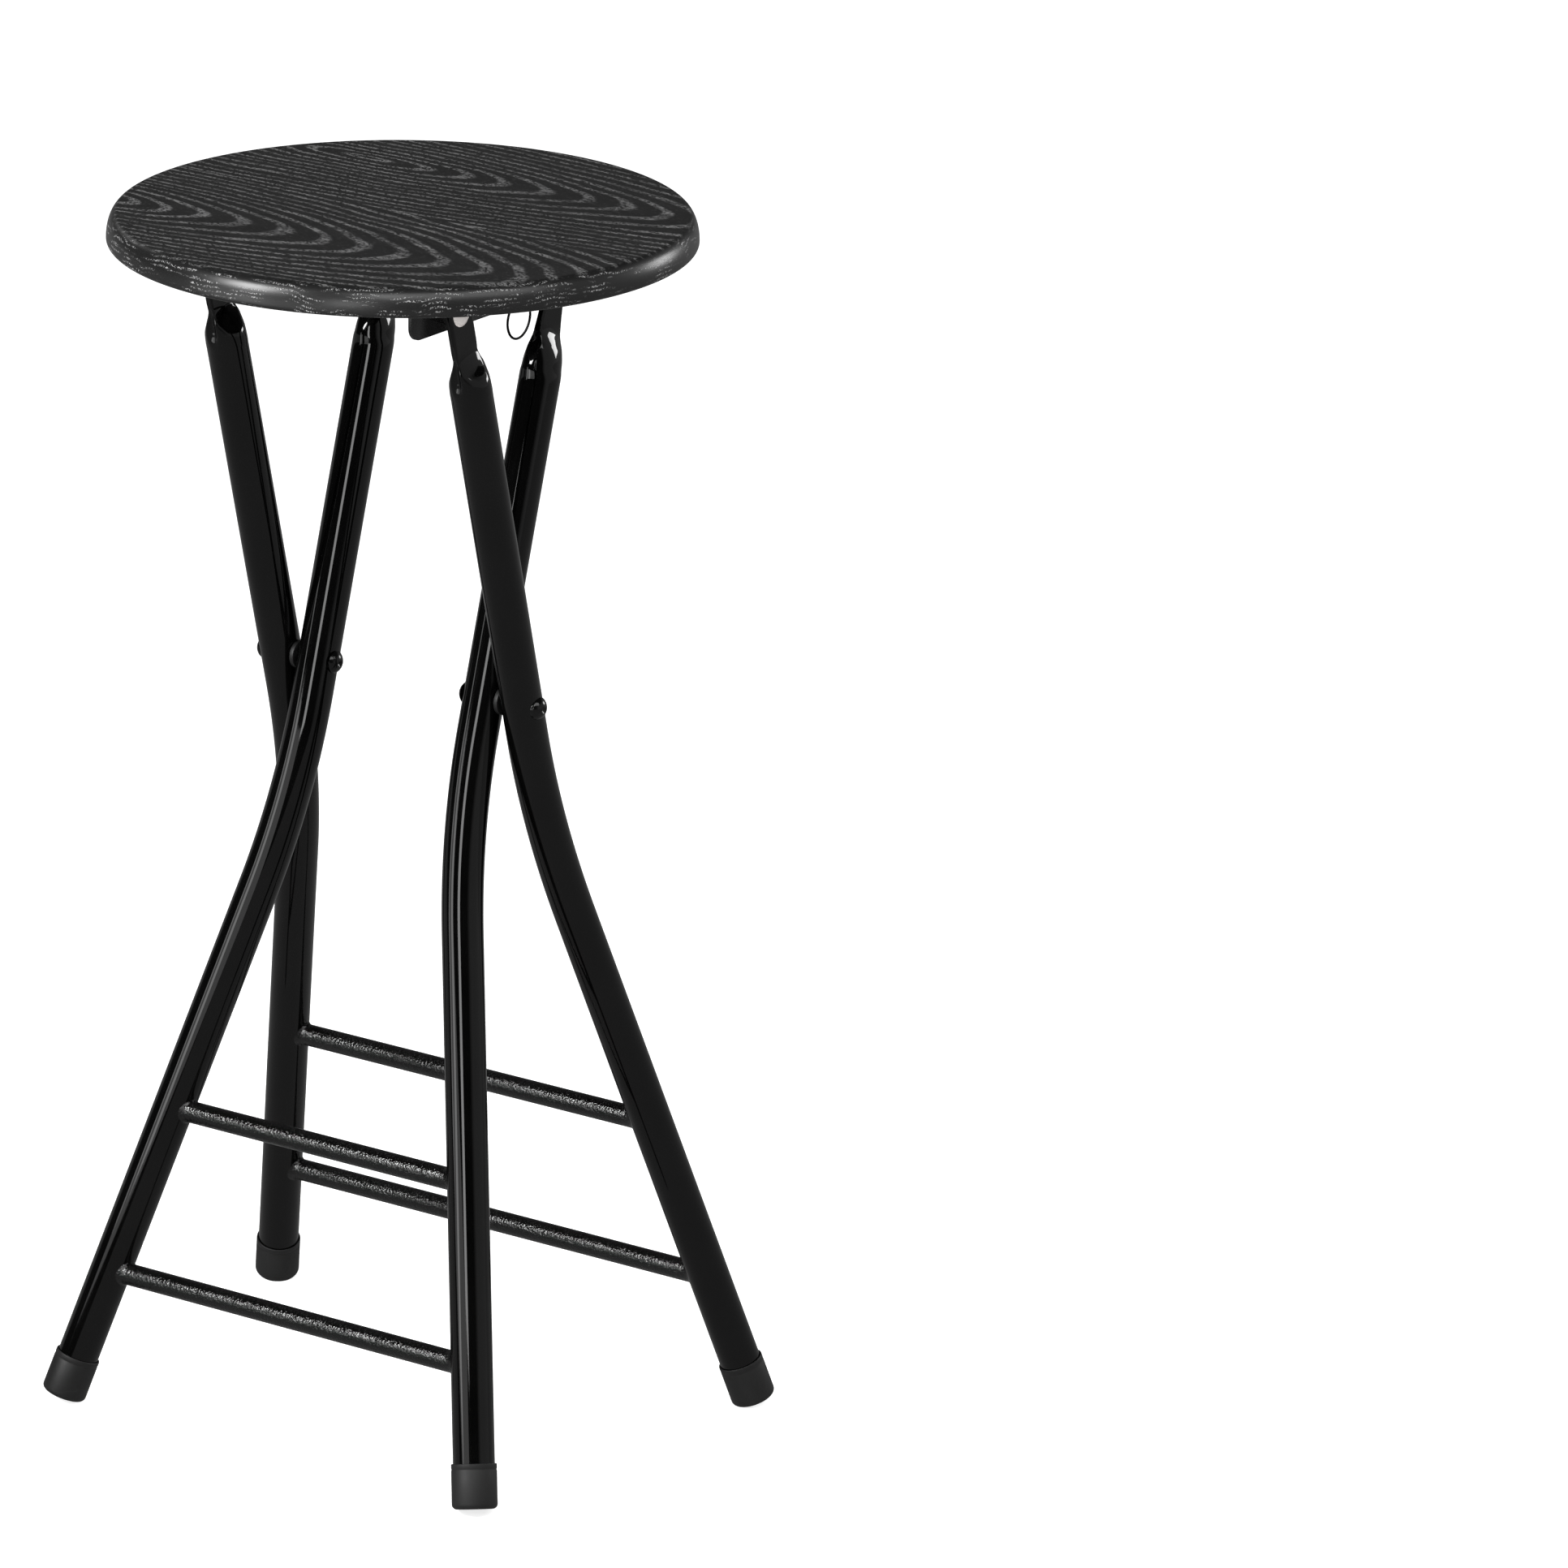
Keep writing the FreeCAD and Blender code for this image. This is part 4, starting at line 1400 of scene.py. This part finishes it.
        bmesh.ops.solidify(shape.bm, geom=shape.bm.faces[:], thickness=BRACKET_PLATE)
        shape.soften(0.3)
        swap = Matrix(((0, -1, 0, BRACKET_FACE_X), (1, 0, 0, 0), (0, 0, 1, 0), (0, 0, 0, 1)))
        return shape.place(swap, hand)

    def cross(self, shape: Shape) -> list[BMEdge]:
        """Sink a cross recess from z = 0 and return its outline.

        Args:
            shape: the screw's shape, which is empty so far.

        Returns:
            The outline.
        """
        (half, arm), taper = self.recess, self.recess_taper
        for vert in bmesh.ops.create_grid(shape.bm, x_segments=3, y_segments=3, size=arm)["verts"]:
            vert.co.x = math.copysign(half if abs(vert.co.x) < 1 else arm, vert.co.x)
            vert.co.y = math.copysign(half if abs(vert.co.y) < 1 else arm, vert.co.y)
        corners = [face for face in shape.bm.faces
                   if min(abs(face.calc_center_median().x), abs(face.calc_center_median().y)) > 0.5]
        bmesh.ops.delete(shape.bm, geom=corners, context="FACES")
        faces = shape.bm.faces[:]
        outline = [edge for edge in shape.bm.edges if edge.is_boundary]
        made = bmesh.ops.extrude_face_region(shape.bm, geom=faces)["geom"]
        floor = [item for item in made if isinstance(item, BMVert)]
        bmesh.ops.delete(shape.bm, geom=faces, context="FACES_ONLY")
        bmesh.ops.translate(shape.bm, verts=floor, vec=(0, 0, self.recess_depth))
        bmesh.ops.scale(shape.bm, verts=floor, vec=(taper, taper, 1))
        return [edge for edge in outline if edge.is_valid]

    def screw(self, x: float, y: float) -> Shape:
        """Shape one pan-head screw under the flange, with a cross recess.

        Args:
            x: X of the screw's middle.
            y: Y of the screw's middle.

        Returns:
            The screw.
        """
        shape = Shape()
        outline = self.cross(shape)
        rim = shape.ring(*self.screw_face)
        bmesh.ops.bridge_loops(shape.bm, edges=rim + outline)
        for radius, z in self.screw_rows:
            rim = shape.pull(rim, (0, 0, 0))
            for vert in shape.verts_of(rim):
                scale = radius / math.hypot(vert.co.x, vert.co.y)
                vert.co = Vector((vert.co.x * scale, vert.co.y * scale, z))
        shape.close(rim)
        shape.settle()
        face_z = SEAT_BOTTOM - BRACKET_PLATE - self.screw_head
        return shape.place(Matrix.Translation((x, y, face_z)))

    def ring(self) -> Shape:
        """Shape the wire ring, turned and swung as it hangs in its hole.

        Returns:
            The ring.
        """
        shape = Shape()
        rim = shape.ring(self.ring_wire, 16, Matrix.Translation((self.ring_radius, 0, 0))
                         @ Matrix.Rotation(QUARTER, 4, "X"))
        bmesh.ops.spin(shape.bm, geom=shape.verts_of(rim) + rim, cent=(0, 0, 0),
                       axis=(0, 0, 1), dvec=(0, 0, 0), angle=math.tau, steps=96, use_merge=True)
        shape.settle()
        hang = (Matrix.Translation(self.ring_held) @ Matrix.Rotation(-self.ring_swing, 4, "X")
                @ Matrix.Translation((0, 0, -self.ring_radius))
                @ Matrix.Rotation(-self.ring_turn, 4, "Z") @ Matrix.Rotation(QUARTER, 4, "X"))
        return shape.place(hang)

    def rod(self) -> Shape:
        """Shape the support rod with chamfered ends.

        Returns:
            The rod.
        """
        shape = Shape()
        half, radius = self.rod_half, self.rod_radius
        Pen(shape, 0, -half).to(radius, -half).to(radius, half).to(0, half)
        shape.turn(48)
        shape.soften(0.6, steps=3)
        return shape.place(facing_x(0, TOP_ROD.y, TOP_ROD.z))

    def build(self, finishes: Finishes) -> None:
        """Build and dress every piece of the seat unit.

        Args:
            finishes: the finishes to dress the pieces in.
        """
        board = self.board().finish("seat_top_board", sharp=60.0)
        finishes.dress(board, Slot.SEAT, Body.SEAT, "seat_board")
        for hand in Hand:
            plate = self.bracket(hand).finish(hand.word + "_seat_plate", sharp=30.0)
            finishes.dress(plate, Slot.BRACKET, Body.SEAT, hand.word + "_seat_bracket")
        spots = [(sign * self.screw_x, y) for sign in (-1, 1) for y in self.screw_ys]
        for number, (x, y) in enumerate(spots, 1):
            screw = self.screw(x, y).finish(f"bracket_screw_{number}", sharp=35.0)
            finishes.dress(screw, Slot.SCREW, Body.SEAT, "bracket_screws")
        finishes.dress(self.rod().finish("support_rod"), Slot.ROD, Body.INNER, "inner_top_rod")
        finishes.dress(self.ring().finish("wire_ring"), Slot.RING, Body.RING, "hanging_ring")


@dataclass(frozen=True)
class Lamp:
    """An area lamp placed by its bearing from the camera's line.

    Attributes:
        name: the lamp's name.
        bearing: degrees round from the camera, positive to the right.
        elevation: degrees above the floor.
        distance: metres from the stool's middle.
        width: metres across.
        height: metres up.
        radiance: brightness of its face, where 1 renders as white.
        centre_z: height of the point that it faces.
        hidden: whether it stays out of the camera's own view.
    """

    name: str
    bearing: float
    elevation: float
    distance: float
    width: float
    height: float
    radiance: float
    centre_z: float = 0.3
    hidden: bool = False

    def build(self, camera_azimuth: float) -> None:
        """Add the lamp.

        Args:
            camera_azimuth: the camera's bearing, in degrees.
        """
        way = way_to(math.radians(camera_azimuth + self.bearing), math.radians(self.elevation))
        data = bpy.data.lights.new(self.name, "AREA")
        data.shape = "RECTANGLE"
        data.size, data.size_y = self.width, self.height
        data.energy = self.radiance * math.pi * self.width * self.height
        lamp = add_object(self.name, data)
        lamp.location = Vector((0, 0, self.centre_z)) + way * self.distance
        lamp.rotation_euler = way.to_track_quat("Z", "Y").to_euler()
        lamp.visible_camera = not self.hidden


@dataclass(frozen=True)
class Studio:
    """Camera, lamps, world and floor. Angles are in degrees and lengths in metres.

    Attributes:
        azimuth: the camera's bearing, from the front towards +X.
        elevation: the camera's height angle.
        roll: the camera's roll.
        distance: from the aim to the camera.
        lens: focal length on a 36 mm wide sensor.
        aim: the point in the middle of the picture.
        surround: what gloss reflects where no lamp is.
        right_wall: the same towards the right.
        rear_wall: the same behind the stool.
        ambient: the world's light on matt surfaces.
        floor_gloss: how bright the floor is in reflections.
        floor_tone: colour level of the floor.
        floor_glow: light that the floor adds in the camera's view, so that it turns white.
        floor_size: half the floor's width.
        lamps: the lamps.
    """

    azimuth: float = 34.56
    elevation: float = 17.96
    roll: float = 0.96
    distance: float = 5.2257
    lens: float = 244.52
    aim: tuple = (0.1542, 0.10795, 0.3227)
    surround: float = 0.03
    right_wall: float = 0.30
    rear_wall: float = 0.06
    ambient: float = 0.55
    floor_gloss: float = 0.23
    floor_tone: float = 0.8
    floor_glow: float = 0.75
    floor_size: float = 12.0
    lamps: tuple = (
        Lamp("left_card", -49, 4, 1.65, 1.65, 0.44, 1.05),
        Lamp("left_stripe", -57, 5, 1.55, 0.30, 0.40, 2.6),
        Lamp("left_edge", -75, 6, 1.55, 0.14, 0.46, 2.0),
        Lamp("left_core", -58, 31, 1.7, 0.46, 0.46, 27.0),
        Lamp("front_spot", -5, 40, 1.5, 0.22, 0.30, 4.0),
        Lamp("front_strip", -18, 16.5, 1.6, 0.34, 0.38, 5.0, hidden=True),
        Lamp("front_softbox", 22, 43, 1.6, 1.8, 0.6, 2.6),
        Lamp("right_core", 117, 17, 1.7, 0.44, 0.34, 10.0),
        Lamp("rear_left_softbox", -140, 30, 2.0, 0.8, 0.5, 0.6))

    def camera(self) -> None:
        """Place the camera at the photograph's view."""
        azimuth, elevation, roll = map(math.radians, (self.azimuth, self.elevation, self.roll))
        back = way_to(azimuth, elevation)
        right = Vector((math.cos(azimuth), math.sin(azimuth), 0))
        up = back.cross(right)
        across = right * math.cos(roll) + up * math.sin(roll)
        upward = up * math.cos(roll) - right * math.sin(roll)
        data = bpy.data.cameras.new("camera")
        data.sensor_width = 36.0
        data.lens = self.lens
        data.clip_end = 50.0
        camera = add_object("camera", data)
        turn = Matrix((across, upward, back)).transposed()
        spot = Vector(self.aim) + back * self.distance
        camera.matrix_world = Matrix.Translation(spot) @ turn.to_4x4()
        bpy.context.scene.camera = camera

    def wall(self, n: Nodes, way: Socket, bearing: float, edges: tuple, level: float) -> Socket:
        """Return a soft glow towards a bearing, measured from the camera's line.

        Args:
            n: the world's nodes.
            way: the direction that is looked in.
            bearing: degrees round from the camera.
            edges: nearness to the bearing, 1 being on it, where the glow starts and is full.
            level: brightness of the full glow.

        Returns:
            The glow.
        """
        middle = way_to(math.radians(self.azimuth + bearing), 0.0)
        nearness = n.add("VectorMath", {0: way, 1: middle}, operation="DOT_PRODUCT")
        return n.ranged(nearness.outputs["Value"], *edges, to=(0.0, level))

    def world(self) -> None:
        """Light the scene softly; the camera sees plain white."""
        world = bpy.data.worlds.new("studio")
        bpy.context.scene.world = world
        world.use_nodes = True
        n = Nodes(world.node_tree)
        path = n.add("LightPath", {}).outputs
        way = n.add("TexCoord", {}).outputs["Generated"]
        walls = n.math("ADD", self.wall(n, way, 90.0, (0.40, 0.72), self.right_wall),
                       self.wall(n, way, -170.0, (0.50, 0.95), self.rear_wall))
        below_top = n.ranged(n.split(way)[2], low=0.62, high=0.38)
        gloss = n.math("MULTIPLY_ADD", walls, below_top, self.surround)
        color = n.mix(path["Is Glossy Ray"], grey(self.ambient), gloss)
        color = n.mix(path["Is Camera Ray"], color, grey(1.0))
        n.feed(world.node_tree.nodes["Background"].inputs["Color"], color)

    def floor(self) -> None:
        """Lay a plain white floor that keeps a soft shadow."""
        shape = bmesh.new()
        bmesh.ops.create_grid(shape, x_segments=1, y_segments=1, size=self.floor_size)
        mesh = bpy.data.meshes.new("floor")
        shape.to_mesh(mesh)
        shape.free()
        material, n, shader = new_material("studio_floor")
        shader["Roughness"].default_value = 0.9
        shader["Specular IOR Level"].default_value = 0.0
        shader["Emission Color"].default_value = grey(1.0)
        path = n.add("LightPath", {}).outputs
        glossy = path["Is Glossy Ray"]
        n.feed(shader["Base Color"], n.mix(glossy, grey(self.floor_tone), grey(0.0)))
        glow = n.times(path["Is Camera Ray"], self.floor_glow)
        n.feed(shader["Emission Strength"], n.math("MULTIPLY_ADD", glossy, self.floor_gloss, glow))
        mesh.materials.append(material)
        add_object("floor", mesh)

    def build(self) -> None:
        """Set up the whole studio."""
        bpy.context.scene.view_settings.view_transform = "Standard"
        self.camera()
        self.world()
        self.floor()
        for lamp in self.lamps:
            lamp.build(self.azimuth)


def main() -> None:
    """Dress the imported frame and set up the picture."""
    logging.basicConfig(level=logging.INFO)
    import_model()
    finishes = Finishes()
    for unit in (OUTER_FRAME, INNER_FRAME, PivotSet(), SeatUnit()):
        unit.build(finishes)
    Studio().build()


if __name__ == "__main__":
    main()
